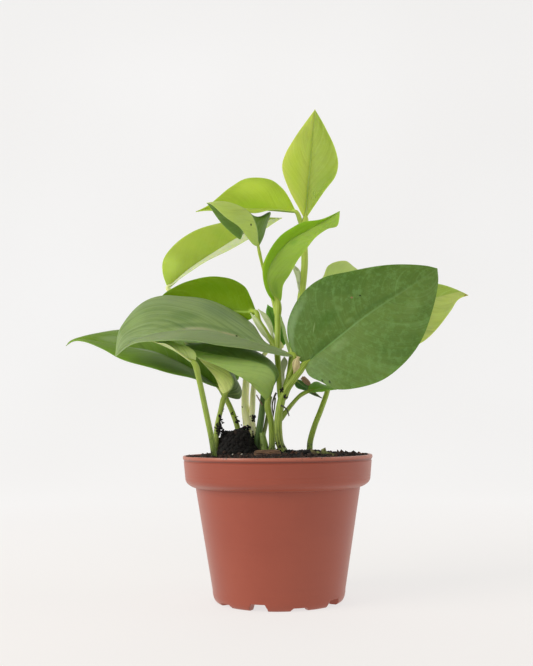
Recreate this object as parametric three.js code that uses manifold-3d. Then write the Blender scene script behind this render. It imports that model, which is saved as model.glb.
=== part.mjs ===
// Potted pothos: a young climbing aroid in a plastic nursery pot.
// Millimetres, +Z up, -Y to the front. The origin is the middle of the pot's foot, on the ground.
import * as THREE from 'three';
import { mergeVertices } from 'three/addons/utils/BufferGeometryUtils.js';
import Module from 'manifold-3d';

const wasm = await Module();
wasm.setup();

// Driving dimensions
const potHeight = 90;
const rimRadius = 60;
const bandHeight = 15; // straight part of the rim band
const bandBottomRadius = 58.4;
const bodyTopRadius = 52;
const bodyBottomRadius = 41.6;
const footRadius = 39;
const footWidth = 4.5;
const footHeight = 7; // where the rounded corner meets the body
const footCorner = [[0.45, 0.3], [0.8, 0.7]]; // shares of the way out and of the way up
const shoulderHeight = 4.8; // rounded underside of the rim band
const shoulderCorner = [[0.3, 0.1], [0.62, 0.34], [0.88, 0.66]];
const lipWidth = 2.1;
const lipHeight = 2;
const lipOverhang = 0.4;
const softEdge = 0.5;
const potWall = 1.2;
const potSectors = 44;
const floorUnderside = 4.6;
const floorThickness = 1.6;
const floorCorner = 3; // how far the inner corner of the floor lies inside the body's surface
const bossRadius = 7;
const lugCount = 10;
const notchWidth = 11.5; // on the ground, narrower at the top
const notchTopWidth = 8.5;
const notchDepths = [4.2, 1.9]; // deep and shallow notches take turns
const drainHoles = 5;
const drainRadius = 4;
const drainCircle = 22;
const drainSides = 16;
const cutMargin = 2; // how far a cutting solid reaches past what it cuts

const soilEdge = 88.2; // height of the soil where it meets the pot
const soilCrown = 2.8;
const crumbHeight = 0.4;
const crumbWaves = [[0.9, 0.5, 1.3], [1.9, -1.3, 2.1], [-0.5, 1.2, 0.4]]; // in x, in y, shift
const mound = { x: -26, y: -3, height: 14, across: 13, deep: 13, steepness: 3 };
const soilRings = 12;
const soilSectors = 36;

const gap = 0.3; // between neighbouring pieces
const sameCorner = 1e-4; // corners nearer than this are one corner
const bladeThickness = 0.7;
const bladeRows = 14;
const smallBladeRows = 8;
const halfColumns = 3; // from the spine to one margin
const baseHalfWidth = 1.3; // least half width of a blade where its stalk ends
const tipHalfWidth = 0.4;
const endShare = 0.12; // near the ends of a blade its margins run together
const stalkStop = 0.8; // from the end of a stalk to its leaf's base
const stalkSides = 7;
const stepsPerSpan = 2;

const colours = {
  pot: 0xb5664f,
  soil: 0x2a2320,
  bark: 0x6b4a34,
  drySheath: 0x8a6b4a,
  lime: 0xa3bf3c,
  fresh: 0x6ea320,
  green: 0x4f8a2c,
  grey: 0x5f8250,
  deep: 0x4c7a39,
  dark: 0x34541f,
  stalk: 0x8fae4c,
  paleStalk: 0xd3dc98,
};
const roughness = { pot: 0.55, soil: 1, bark: 0.95, drySheath: 0.9, leaf: 0.45, stem: 0.5 };

// Leaf blades. The spine runs from the base to the tip, and each margin leaves the base and ends
// at the tip too. Left and right are as seen from the leaf's upper side, looking at the tip.
// Arch is how far each half swells, as a share of its width.
const leaves = [
  {
    name: 'leaf_top', colour: colours.lime, arch: 0.06,
    spine: [[20, 11, 244], [21, 11, 256], [23, 10, 275], [25, 12, 294], [28, 18, 322]],
    left: [[15, 8, 253], [10, 4, 262], [5, 2, 277], [7, 3, 286], [12, 6, 296], [19, 12, 308]],
    right: [[27, 8, 254], [33, 5, 262], [40, 3, 271], [42, 3, 279], [41, 4, 288], [34, 13, 309]],
  },
  {
    name: 'leaf_upper_left', colour: colours.lime, arch: 0.05,
    spine: [[14, 8, 249], [-3, 10, 251], [-21, 10, 252], [-39, 7, 252], [-52, 4, 249]],
    left: [[8, 2, 248.5], [-3, -2, 248], [-14, -6, 245.5], [-32, 0, 248], [-44, 2, 249]],
    right: [[10, 14, 259], [5, 22, 269], [-2, 28, 276], [-12, 30, 278], [-21, 29, 277],
      [-30, 22, 270], [-38, 12, 260], [-45, 6, 253]],
  },
  {
    name: 'leaf_hooded', colour: colours.grey, arch: 0.04,
    spine: [[-11, 0, 224], [-12, -6, 236], [-17, -12, 245], [-31, -18, 250], [-43, -20, 249]],
    left: [[-15, -8, 225], [-21, -18, 232], [-29, -26, 237], [-40, -24, 247]],
    right: [[-8, 4, 231], [-6, 8, 238], [-3, 12, 250], [-11.5, 13, 245], [-20.5, 9, 237],
      [-21.8, 3.5, 233], [-23, 2.2, 229.8], [-24.5, 0.8, 230.4], [-34, -10, 237.5]],
  },
  {
    name: 'leaf_back_left', colour: colours.lime, arch: 0.05,
    spine: [[-75, 42, 204], [-60, 46, 218], [-42, 50, 231], [-25, 52, 242], [-4, 50, 253],
      [5, 48, 254]],
    left: [[-79, 48, 215], [-80, 54, 224], [-78, 58, 231], [-71, 62, 240], [-61, 64, 247],
      [-51, 66, 252], [-36, 66, 256], [-17, 58, 257]],
    right: [[-70, 38, 207], [-59, 34, 214], [-38, 34, 226], [-18, 38, 237], [-2, 45, 249]],
  },
  {
    name: 'leaf_middle_left', colour: colours.green, arch: 0.08,
    spine: [[-13, 4, 182], [-28, 14, 184], [-46, 20, 188], [-63, 19, 190], [-80, 13, 188]],
    left: [[-16, 6, 178], [-24, 14, 177], [-42, 18, 175], [-60, 15, 177], [-72, 12, 182]],
    right: [[-14, 10, 186], [-17, 18, 194], [-21, 25, 202], [-29, 31, 208], [-38, 34, 210],
      [-49, 34, 210], [-60, 30, 207], [-68, 24, 202], [-75, 17, 196]],
  },
  {
    name: 'leaf_broad_left', colour: colours.grey, arch: 0.05,
    spine: [[11, -18, 152], [0.5, -19, 155.5], [-14.5, -20, 160.5], [-29.5, -22, 164.5],
      [-44, -24, 167.5], [-59, -25, 167.5], [-72.5, -25, 166], [-81, -24, 164], [-91, -23, 160],
      [-100, -22, 152]],
    left: [[7, -22, 151], [-7, -30, 154], [-21.5, -38, 157], [-37, -46, 158], [-48, -50, 159],
      [-59, -54, 159], [-81, -44, 159], [-91, -32, 157]],
    right: [[3, -10, 156], [-7, -4, 161], [-14, 4, 173], [-21, 8, 179], [-31, 10, 185],
      [-41, 12, 190], [-51, 12, 193], [-62, 10, 194], [-73, 6, 194], [-82, 2, 191],
      [-89.5, -5, 184.5], [-96, -12, 175], [-99, -18, 167]],
  },
  {
    name: 'leaf_long_left', colour: colours.dark, arch: 0.05,
    spine: [[-37, 8, 133], [-56, 6, 146], [-75, 4, 155], [-97, 1, 160], [-113, -1, 163],
      [-127, -2, 165], [-133, 0, 164], [-136, 1, 161]],
    left: [[-44, -2, 135], [-54, -11, 139], [-72, -18, 143], [-97, -14, 151], [-111, -9, 158],
      [-123, -6, 163], [-131, -1, 163.5]],
    right: [[-25, 20, 140], [-35, 32, 156], [-52, 38, 166], [-80, 36, 173], [-105, 20, 173],
      [-117, 8, 170], [-125, 1, 167], [-131, 1, 165]],
  },
  {
    name: 'leaf_front', colour: colours.deep, arch: 0.05,
    spine: [[-6, -12, 123], [-2.5, -14, 131.5], [-1, -18, 138.5], [-5, -22, 144.5],
      [-12.5, -25, 147.5], [-24.5, -27, 150], [-39, -27, 152.5], [-51, -25, 155.5],
      [-60, -20, 158.5]],
    left: [[-11.8, -20, 129.6], [-17, -27, 135], [-22, -31, 138], [-27, -34, 140.5],
      [-34.5, -37, 144.5], [-41.5, -38, 147.5], [-48, -37, 150], [-54, -31, 154]],
    right: [[-1.5, -14, 134], [1.5, -14, 140.5], [-2, -12, 147], [-11.5, -10, 154], [-21, -9, 158],
      [-34.5, -10, 160], [-46.5, -12, 160]],
  },
  {
    name: 'leaf_low_front', colour: colours.fresh, arch: 0.04,
    spine: [[-49, -45, 146], [-59, -46, 153], [-67, -43, 157], [-74, -36, 160], [-81, -28, 162]],
    left: [[-53, -49, 148], [-59, -53, 153], [-66, -52, 157], [-74, -43, 159]],
    right: [[-48, -44, 148.5], [-48.5, -43.5, 152.5], [-53.5, -42, 156], [-61, -38, 159],
      [-67.5, -34, 160.5]],
  },
  {
    name: 'leaf_cup', colour: colours.green, arch: 0.05,
    spine: [[-33, -5, 128], [-28.5, -8, 132.5], [-27.5, -7, 137], [-30.5, -4, 143],
      [-38.5, -2, 151.5], [-49, -2, 158], [-59, -4, 162]],
    left: [[-35.5, -6, 130.5], [-39, -8, 139], [-45, -10, 146.5], [-49.5, -12, 151.5],
      [-54.5, -12, 156.5]],
    right: [[-30, -2, 126.5], [-24, 3, 126], [-23, 6, 131], [-25.5, 7, 137], [-29, 8, 145.5],
      [-35.5, 8, 155], [-42, 6, 160.5]],
  },
  {
    name: 'leaf_arched', colour: colours.fresh, arch: 0.03,
    spine: [[1, 3, 188], [-3.5, -3, 196], [-5, -8, 203.5], [-2, -9, 212.5], [9, -9, 226],
      [22, -8, 233.5], [33.5, -6.5, 240.5], [42, -5, 246]],
    left: [[-3, 0, 190], [-7, -6, 197], [-8, -12, 209], [-4, -14, 219], [3, -14, 228],
      [11, -13, 234], [18, -11, 238], [30, -9, 240]],
    right: [[3, 4, 189], [5, 0, 199], [9, -5, 205], [14, -9, 213], [21, -10, 222], [26, -10, 228],
      [34, -8, 234], [40, -6, 236], [41.5, -6, 241]],
  },
  {
    name: 'leaf_big_right', colour: colours.deep, arch: 0.04,
    spine: [[17, -18, 146], [34, -20, 159], [56, -20, 176], [79, -17, 191], [103, -10, 207]],
    left: [[10, -18, 154], [7, -16, 171], [15, -14, 189], [29, -12, 201], [48, -10, 206],
      [77, -9, 210], [96, -9, 209]],
    right: [[20, -22, 139], [27, -26, 135], [37, -30, 130], [61, -32, 134], [76, -31, 144],
      [88, -27, 158], [98, -19, 180], [103, -12, 199]],
  },
  {
    name: 'leaf_right_tip', colour: colours.lime, arch: 0.04,
    spine: [[46, 25, 171], [68, 28, 182], [92, 32, 190], [109, 34, 194], [127, 36, 198],
      [132, 37, 196]],
    left: [[52, 32, 184], [69, 38, 196], [91, 42, 206], [111, 41, 205], [122, 38, 201]],
    right: [[54, 17, 165], [73, 14, 153], [96, 18, 162], [107, 24, 171], [118, 30, 184],
      [125, 35, 193]],
  },
  {
    name: 'leaf_behind_right', colour: colours.fresh, arch: 0.04, small: true,
    spine: [[23, 18, 193], [34, 20, 198], [47, 24, 203], [68, 28, 204]],
    left: [[27, 20, 201], [32, 24, 208], [36, 28, 216], [48, 31, 220], [54, 31, 215]],
    right: [[31, 14, 191], [47, 14, 192], [58, 20, 198]],
  },
  {
    name: 'leaf_small_right', colour: colours.fresh, arch: 0.04, small: true,
    spine: [[20, -4, 130], [25, -6, 131], [31, -6, 132], [38, -4, 131]],
    left: [[21, 0, 134], [24, 2, 136], [32, 1, 134]],
    right: [[24, -8, 129], [31, -8.5, 130]],
  },
  {
    name: 'leaf_small_back', colour: colours.green, arch: 0.04, small: true,
    spine: [[3.5, 13, 160], [1.5, 13.5, 167], [-1.5, 14, 177], [-5.5, 13, 188]],
    left: [[0, 13, 165], [-3.5, 12.5, 175], [-6.5, 12, 182.5]],
    right: [[5.8, 12.5, 161.5], [6.5, 12, 165], [5, 12, 173.5], [2.5, 12.5, 182]],
  },
  {
    name: 'leaf_dark_back', colour: colours.dark, arch: 0.04, small: true,
    spine: [[11, 14, 139], [16.5, 15, 135], [22.5, 16, 131], [29.5, 17, 126]],
    left: [[15.5, 16, 138], [21, 16, 134.5], [25.5, 17, 130]],
    right: [[12.5, 13, 133.5], [18, 14, 131], [24, 16, 128]],
  },
];

// Stems and leaf stalks. A run is a tapered tube through its points, with a radius at each end;
// the runs of one stem are fused. A run that carries a leaf ends at that leaf's base. A wing is
// the thin free edge of a sheath, drawn like a small blade that starts inside the stem.
const stems = [
  {
    name: 'vine', colour: colours.stalk,
    runs: [
      { radii: [2.7, 2.3], leaf: 'leaf_top', points: [[8, -17, 74], [6, -17, 85], [4.5, -17, 91],
        [1.5, -16.5, 97], [0.5, -16, 105], [0.5, -15.5, 111], [1.5, -15, 118.5], [3, -14.5, 125],
        [5, -13.5, 130], [8, -12, 138.5], [9.5, -10, 148], [11, -7.5, 157], [15, 2, 183],
        [19, 8, 213], [19, 10, 239]] },
      { radii: [1.6, 1.3], leaf: 'leaf_upper_left', points: [[19, 10, 236], [17, 10, 242]] },
      { radii: [2.1, 1.6], leaf: 'leaf_broad_left', points: [[8, -13, 139], [10, -16, 145]] },
      { radii: [2.5, 2.2], leaf: 'leaf_big_right', points: [[3.5, -14.5, 126], [6.5, -16, 132],
        [10, -17, 136.5], [13.5, -18, 141.5]] },
      { radii: [1.5, 1.2], leaf: 'leaf_small_right', points: [[2, -14, 112.5], [5.5, -12, 117],
        [10, -9, 122.5], [15, -6, 127.5]] },
      { radii: [1.9, 2.2], leaf: 'leaf_arched', points: [[3, -13.5, 124], [2, -11, 130],
        [1.5, -8, 138], [1, -5, 146.5], [0.5, -2, 155], [1, 3, 176]] },
      { radii: [1.1, 1], leaf: 'leaf_hooded', points: [[0, 3, 180], [-2, 8, 190], [-7, 9, 207]] },
      { radii: [1.9, 1.6], leaf: 'leaf_middle_left', points: [[0, 0, 157.5], [-3.5, 2, 163],
        [-7.5, 3, 170], [-11.5, 3.5, 176.5]] },
      { radii: [1.3, 1.1], leaf: 'leaf_behind_right', points: [[16, 4, 184], [19, 12, 188]] },
      { radii: [1.2, 1], leaf: 'leaf_dark_back', points: [[4, -14, 127], [7, 2, 138],
        [9, 10, 141]] },
    ],
    wings: [
      { arch: 0, small: true, spine: [[16, 3, 194], [14.5, 3, 201], [12, 4, 213]],
        left: [[13.5, 2, 202.5], [11.5, 3, 210.5]], right: [[16.5, 5, 201.5], [16, 6, 209.5]] },
      { arch: 0, small: true, spine: [[-2, 2, 162], [-3, 3, 169.5], [-6.5, 3.5, 177],
        [-11.5, 4, 184]],
        left: [[-4, 3, 169], [-8.5, 3.5, 178]], right: [[-2, 4, 170.5], [-5.5, 4.5, 180]] },
      { arch: 0, small: true, spine: [[-2.5, 1, 160.5], [-9, 0, 169], [-13.5, 1, 176],
        [-16.5, 3, 181.5]],
        left: [[-10, -0.5, 168], [-14.5, 0.5, 175.5]],
        right: [[-7.5, 1, 169.5], [-12, 1.5, 177.5]] },
      { arch: 0, small: true, spine: [[9, -8, 154.5], [6, -4, 164], [4.5, -1, 172],
        [2.5, 1.5, 180]],
        left: [[5, -4, 164], [3.5, -1, 172]], right: [[7, -4, 164], [5.5, -1, 172]] },
      { arch: 0, small: true, spine: [[4.5, -13, 131], [4, -9.5, 141.5], [5, -7, 152]],
        left: [[3, -9.5, 141.5], [3, -8, 149]], right: [[5, -9.5, 141.5], [7, -7.5, 149]] },
    ],
  },
  {
    name: 'stalk_pale', colour: colours.paleStalk,
    runs: [
      { radii: [3, 1.6], leaf: 'leaf_back_left', points: [[-11, 3, 72], [-12.5, 3, 86],
        [-14, 3, 94], [-16.5, 4, 100], [-18.5, 4, 105], [-19.5, 6, 111.5], [-20.5, 10, 118],
        [-21, 17, 125], [-22, 36, 160], [-35, 44, 178], [-56, 46, 194]] },
      { radii: [2.2, 1.4], leaf: 'leaf_small_back', points: [[-9.5, 4, 80], [-9.5, 4, 92],
        [-12, 4, 98], [-15, 5, 103.5], [-16.5, 6, 111.5], [-16, 8, 121], [-15.5, 11, 131],
        [-14, 13, 141], [-11.5, 14, 149.5], [-6.5, 14, 157], [-2, 13.5, 160]] },
    ],
  },
  {
    name: 'stalk_left_front', colour: colours.stalk,
    runs: [
      { radii: [1.9, 1.7], leaf: 'leaf_low_front', points: [[-37, -29, 76], [-39.5, -31, 99],
        [-42.5, -34, 115], [-46.5, -40, 136]] },
    ],
  },
  {
    name: 'stalk_left', colour: colours.stalk,
    runs: [
      { radii: [1.8, 1.6], leaf: 'leaf_cup', points: [[-39, -10, 78], [-38, -10, 107],
        [-36, -8, 117]] },
    ],
  },
  {
    name: 'stalk_left_back', colour: colours.stalk,
    runs: [
      { radii: [1.9, 1.7], leaf: 'leaf_long_left', points: [[-23, 5, 78], [-24.5, 5, 98.5],
        [-25.5, 6, 106.5], [-28.5, 7, 116], [-32, 8, 124]] },
    ],
  },
  {
    name: 'stalk_front', colour: colours.stalk,
    runs: [
      { radii: [2.2, 1.9], leaf: 'leaf_front', points: [[-3.5, -10, 78], [-3.5, -10, 94.5],
        [-3.5, -10, 105], [-4, -10.5, 111.5], [-5.5, -11, 117.5]] },
    ],
  },
  {
    name: 'stalk_right', colour: colours.stalk,
    runs: [
      { radii: [2.1, 1.5], leaf: 'leaf_right_tip', points: [[20, 4, 76], [20.5, 4, 92],
        [21, 5, 98], [24, 6, 108], [28, 9, 117.5], [32, 13, 127.5], [33.5, 15, 132],
        [42, 22, 154]] },
    ],
  },
  {
    name: 'stalk_dark', colour: colours.green,
    runs: [
      { radii: [2.5, 2.1], points: [[-13.5, -3, 80], [-13.5, -3, 94.5], [-12, -3, 103],
        [-10.5, -3, 111.5], [-9.5, -3, 119], [-8.5, -3, 128]] },
    ],
  },
];

// Dry papery sheaths left behind by old leaves, drawn like small blades.
const drySheaths = [
  {
    name: 'dry_sheath_node', arch: 0.3, small: true,
    spine: [[13, -20.5, 150.5], [12.5, -21.5, 146], [11, -20, 141.5]],
    left: [[15, -19.5, 148], [15, -20, 144]], right: [[10, -20, 149], [9, -20.5, 144.5]],
  },
  {
    name: 'dry_sheath_low', arch: 0.2, small: true,
    spine: [[16, 3, 139], [19.5, 3, 136], [23, 3, 132.5]],
    left: [[18, 3.5, 140], [21, 3.5, 136.5]], right: [[16, 2.5, 137.5], [19, 2.5, 134.5]],
  },
];

// Chip of bark on the soil, in front of the pale stalks
const barkChip = { place: [-6.2, -27, 91.2], halfSize: [8.3, 4.5, 2.6], turn: 0.1, tilt: 0.12 };

const vector = ([x, y, z]) => new THREE.Vector3(x, y, z);
const smooth = (points) => new THREE.CatmullRomCurve3(points.map(vector), false, 'centripetal');

// Solid from a geometry: the shared corners are joined first.
function solid(geometry) {
  const bare = geometry.clone();
  bare.deleteAttribute('normal');
  bare.deleteAttribute('uv');
  const joined = mergeVertices(bare, sameCorner);
  return new wasm.Manifold(new wasm.Mesh({
    numProp: 3,
    vertProperties: joined.attributes.position.array,
    triVerts: new Uint32Array(joined.index.array),
  }));
}

// Geometry from a solid, without the scraps that a cut may leave.
function geometryOf(body) {
  const pieces = body.decompose().sort((a, b) => b.volume() - a.volume());
  const mesh = pieces[0].getMesh();
  const geometry = new THREE.BufferGeometry();
  geometry.setAttribute('position', new THREE.BufferAttribute(mesh.vertProperties, 3));
  geometry.setIndex(new THREE.BufferAttribute(mesh.triVerts, 1));
  return geometry;
}

function meshOf(name, color, kind, geometry) {
  geometry.computeVertexNormals();
  const surface = { color, roughness: roughness[kind], metalness: 0 };
  const material = new THREE.MeshStandardMaterial(surface);
  const mesh = new THREE.Mesh(geometry, material);
  mesh.name = name;
  return mesh;
}

function geometryFrom(vertices, triangles) {
  const geometry = new THREE.BufferGeometry();
  const numbers = vertices.flatMap((v) => [v.x, v.y, v.z]);
  geometry.setAttribute('position', new THREE.Float32BufferAttribute(numbers, 3));
  geometry.setIndex(triangles);
  return geometry;
}

// Direction that leaves the blade squarely across its margin. Half a margin's reach says little
// where it is short, so the row's sideways direction is added to it.
function outwards(margin, v, reach, sideways) {
  const edge = margin.getTangentAt(v);
  const away = reach.clone().add(sideways);
  return away.addScaledVector(edge, -away.dot(edge)).normalize();
}

// Middle surface of a blade: rows from the base to the tip, columns from margin to margin.
// Each half swells between the spine and its margin by a share of the half's width.
function bladeRowsOf(leaf, grow) {
  const base = leaf.spine[0];
  const tip = leaf.spine[leaf.spine.length - 1];
  const spine = smooth(leaf.spine);
  const margins = [smooth([base, ...leaf.left, tip]), smooth([base, ...leaf.right, tip])];
  const count = leaf.small ? smallBladeRows : bladeRows;
  const rows = [];
  for (let i = 0; i <= count; i++) {
    const v = i / count;
    const pastEnd = i === 0 ? -grow : i === count ? grow : 0;
    const middle = spine.getPointAt(v);
    const along = spine.getTangentAt(v);
    const sides = margins.map((margin) => margin.getPointAt(v));
    // the row's own sideways direction, taken a little way in from the ends
    const near = THREE.MathUtils.clamp(v, endShare, 1 - endShare);
    const across = margins[1].getPointAt(near).sub(margins[0].getPointAt(near));
    across.addScaledVector(along, -across.dot(along)).normalize();
    const leastHalfWidth = THREE.MathUtils.lerp(baseHalfWidth, tipHalfWidth, v);
    const row = [];
    for (let j = -halfColumns; j <= halfColumns; j++) {
      const share = Math.abs(j) / halfColumns;
      const side = j < 0 ? 0 : 1;
      const reach = sides[side].clone().sub(middle);
      const sideways = across.clone().multiplyScalar(Math.sign(j));
      const swell = new THREE.Vector3().crossVectors(reach, along).multiplyScalar(Math.sign(j));
      const point = middle.clone().addScaledVector(reach, share);
      const rise = leaf.arch * reach.length() * 4 * share * (1 - share);
      point.addScaledVector(swell.normalize(), rise);
      const missing = Math.max(0, leastHalfWidth - reach.length());
      point.addScaledVector(sideways, share * missing);
      if (share === 1) point.addScaledVector(outwards(margins[side], v, reach, sideways), grow);
      point.addScaledVector(along, pastEnd);
      row.push(point);
    }
    rows.push(row);
  }
  return rows;
}

// Closed blade: the middle surface moved to both sides, with the same diagonals on both faces.
function bladeGeometry(leaf, grow = 0) {
  const rows = bladeRowsOf(leaf, grow);
  const last = rows.length - 1;
  const columns = rows[0].length;
  const half = bladeThickness / 2 + grow;
  const upper = [];
  const lower = [];
  for (let i = 0; i <= last; i++) {
    for (let j = 0; j < columns; j++) {
      const along = rows[Math.min(i + 1, last)][j].clone().sub(rows[Math.max(i - 1, 0)][j]);
      const across = rows[i][Math.min(j + 1, columns - 1)].clone().sub(rows[i][Math.max(j - 1, 0)]);
      const normal = new THREE.Vector3().crossVectors(across, along).normalize();
      upper.push(rows[i][j].clone().addScaledVector(normal, half));
      lower.push(rows[i][j].clone().addScaledVector(normal, -half));
    }
  }
  const under = upper.length;
  const triangles = [];
  const quad = (a, b, c, d) => triangles.push(a, b, c, a, c, d);
  for (let i = 0; i < last; i++) {
    for (let j = 0; j < columns - 1; j++) {
      const a = i * columns + j;
      quad(a, a + 1, a + columns + 1, a + columns);
      triangles.push(under + a, under + a + columns + 1, under + a + 1);
      triangles.push(under + a, under + a + columns, under + a + columns + 1);
    }
    const left = i * columns;
    const right = left + columns - 1;
    quad(left, left + columns, under + left + columns, under + left);
    quad(right, under + right, under + right + columns, right + columns);
  }
  for (let j = 0; j < columns - 1; j++) {
    const end = last * columns + j;
    quad(j, under + j, under + j + 1, j + 1);
    quad(end, end + 1, under + end + 1, under + end);
  }
  return geometryFrom([...upper, ...lower], triangles);
}

// Tapered tube through the points, closed at both ends.
function tubeGeometry(points, radii, grow) {
  const curve = smooth(points);
  const steps = (points.length - 1) * stepsPerSpan;
  const frames = curve.computeFrenetFrames(steps, false);
  const vertices = [];
  const triangles = [];
  for (let i = 0; i <= steps; i++) {
    const centre = curve.getPointAt(i / steps);
    const radius = THREE.MathUtils.lerp(radii[0], radii[1], i / steps) + grow;
    for (let k = 0; k < stalkSides; k++) {
      const turn = (k / stalkSides) * Math.PI * 2;
      vertices.push(centre.clone()
        .addScaledVector(frames.normals[i], radius * Math.cos(turn))
        .addScaledVector(frames.binormals[i], radius * Math.sin(turn)));
    }
  }
  for (let i = 0; i < steps; i++) {
    for (let k = 0; k < stalkSides; k++) {
      const a = i * stalkSides + k;
      const b = i * stalkSides + ((k + 1) % stalkSides);
      triangles.push(a, b, b + stalkSides, a, b + stalkSides, a + stalkSides);
    }
  }
  const top = steps * stalkSides;
  for (let k = 1; k < stalkSides - 1; k++) {
    triangles.push(0, k + 1, k, top, top + k, top + k + 1);
  }
  return geometryFrom(vertices, triangles);
}

// End of a stalk, just short of its leaf's base
function beforeBase(run, leaf) {
  const base = vector(leaf.spine[0]);
  const back = vector(run.points[run.points.length - 1]).sub(base).normalize();
  return base.addScaledVector(back, stalkStop).toArray();
}

function stemSolid(stem, grow) {
  const tubes = stem.runs.map((run) => {
    const leaf = leaves.find((one) => one.name === run.leaf);
    const points = leaf ? [...run.points, beforeBase(run, leaf)] : run.points;
    return solid(tubeGeometry(points, run.radii, grow));
  });
  const wings = (stem.wings ?? []).map((wing) => solid(bladeGeometry(wing, grow)));
  return [...tubes, ...wings].reduce((body, piece) => body.add(piece));
}

// Pot
function ringCut(angle, shape, from, to) {
  const cut = new THREE.ExtrudeGeometry(shape, { depth: to - from, bevelEnabled: false });
  // the shape's X is along the rim and its Y is up; the extrusion runs outwards
  cut.rotateX(Math.PI / 2);
  cut.rotateZ(Math.PI);
  cut.translate(0, from, 0);
  cut.rotateZ(angle - Math.PI / 2);
  return solid(cut);
}

function notchShape(depth) {
  const low = notchWidth / 2;
  const high = notchTopWidth / 2;
  const shape = new THREE.Shape();
  shape.moveTo(-low, -cutMargin);
  shape.lineTo(low, -cutMargin);
  shape.lineTo(low, 0);
  shape.lineTo(high, depth);
  shape.lineTo(-high, depth);
  shape.lineTo(-low, 0);
  return shape;
}

const bandBottom = potHeight - bandHeight;
const bodyTop = bandBottom - shoulderHeight;
const floorTop = floorUnderside + floorThickness;

// Corner from one radius and height to another, through points given as shares of the way
const between = ([r0, z0], [r1, z1], [out, up]) => [
  THREE.MathUtils.lerp(r0, r1, out),
  THREE.MathUtils.lerp(z0, z1, up),
];
const rounded = (from, to, shares) => [from,
  ...shares.map((share) => between(from, to, share)), to];

// Inside of the wall, from the rim band down to the floor
const insideWall = [
  [bandBottomRadius - potWall, bandBottom],
  [bodyTopRadius - potWall, bodyTop + potWall],
  [bodyBottomRadius - potWall, footHeight],
  [bodyBottomRadius - floorCorner, floorTop],
];

// From the boss out to the foot, up to the lip, and down the inside to the floor.
const potProfile = [
  [0, 0], [bossRadius, 0], [bossRadius + softEdge, floorUnderside],
  [footRadius - footWidth - softEdge, floorUnderside], [footRadius - footWidth, 0],
  ...rounded([footRadius - softEdge, 0], [bodyBottomRadius, footHeight], footCorner),
  ...rounded([bodyTopRadius, bodyTop], [bandBottomRadius, bandBottom], shoulderCorner),
  [rimRadius - lipOverhang, potHeight - lipHeight - softEdge], [rimRadius, potHeight - lipHeight],
  [rimRadius, potHeight - softEdge], [rimRadius - softEdge, potHeight],
  [rimRadius - lipWidth, potHeight], ...insideWall, [0, floorTop],
];

function potGeometry() {
  const profile = potProfile.map(([r, z]) => new THREE.Vector2(r, z));
  const shell = new THREE.LatheGeometry(profile, potSectors);
  shell.rotateX(Math.PI / 2);
  let body = solid(shell);
  for (let i = 0; i < lugCount; i++) {
    const angle = -Math.PI / 2 + ((i + 0.5) / lugCount) * Math.PI * 2;
    const shape = notchShape(notchDepths[(i + 1) % 2]);
    const inner = footRadius - footWidth - cutMargin;
    body = body.subtract(ringCut(angle, shape, inner, bodyBottomRadius + cutMargin));
  }
  const drillLength = 2 * (floorThickness + cutMargin);
  for (let i = 0; i < drainHoles; i++) {
    const drill = new THREE.CylinderGeometry(drainRadius, drainRadius, drillLength, drainSides);
    const angle = (i / drainHoles) * Math.PI * 2;
    drill.rotateX(Math.PI / 2);
    drill.translate(drainCircle * Math.cos(angle), drainCircle * Math.sin(angle), floorUnderside);
    body = body.subtract(solid(drill));
  }
  return geometryOf(body);
}

// Soil: low crumbs all over, a mound at the left round the old stalks.
const upTheBand = (soilEdge - bandBottom) / bandHeight;
const soilRadius = THREE.MathUtils.lerp(insideWall[0][0], rimRadius - lipWidth, upTheBand) - gap;

function crumbs(x, y) {
  const waves = crumbWaves.map(([a, b, shift]) => Math.sin(a * x + b * y + shift));
  return waves.reduce((sum, wave) => sum + wave);
}

function soilHeight(x, y) {
  const crown = soilCrown * (1 - (x * x + y * y) / soilRadius ** 2);
  const away = ((x - mound.x) / mound.across) ** 2 + ((y - mound.y) / mound.deep) ** 2;
  const heap = mound.height * Math.exp(-(away ** mound.steepness));
  return soilEdge + crown + heap + crumbHeight * crumbs(x, y);
}

function soilGeometry() {
  const lowerRings = insideWall.map(([r, z]) => [r - gap, z + gap]);
  const vertices = [new THREE.Vector3(0, 0, soilHeight(0, 0))];
  const ringOf = (radius, height) => {
    for (let k = 0; k < soilSectors; k++) {
      const angle = (k / soilSectors) * Math.PI * 2;
      const x = radius * Math.cos(angle);
      const y = radius * Math.sin(angle);
      vertices.push(new THREE.Vector3(x, y, height ?? soilHeight(x, y)));
    }
  };
  for (let i = 1; i <= soilRings; i++) ringOf((i / soilRings) * soilRadius);
  for (const [radius, height] of lowerRings) ringOf(radius, height);
  vertices.push(new THREE.Vector3(0, 0, floorTop + gap));
  const triangles = [];
  const ringCount = soilRings + lowerRings.length;
  for (let k = 0; k < soilSectors; k++) {
    const next = (k + 1) % soilSectors;
    triangles.push(0, 1 + k, 1 + next);
    for (let i = 0; i < ringCount - 1; i++) {
      const a = 1 + i * soilSectors;
      const b = a + soilSectors;
      triangles.push(a + k, b + k, b + next, a + k, b + next, a + next);
    }
    const lowest = 1 + (ringCount - 1) * soilSectors;
    triangles.push(vertices.length - 1, lowest + next, lowest + k);
  }
  let body = solid(geometryFrom(vertices, triangles));
  for (const stem of stems) body = body.subtract(stemSolid(stem, gap));
  return geometryOf(body.subtract(solid(barkGeometry(gap))));
}

function barkGeometry(grow) {
  const chip = new THREE.DodecahedronGeometry(1, 0);
  chip.scale(...barkChip.halfSize.map((size) => size + grow));
  chip.rotateX(barkChip.tilt);
  chip.rotateZ(barkChip.turn);
  return chip.translate(...barkChip.place);
}

// Plant
function stemGeometry(stem) {
  let body = stemSolid(stem, 0);
  for (const leaf of leaves) body = body.subtract(solid(bladeGeometry(leaf, gap)));
  return geometryOf(body);
}

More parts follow.
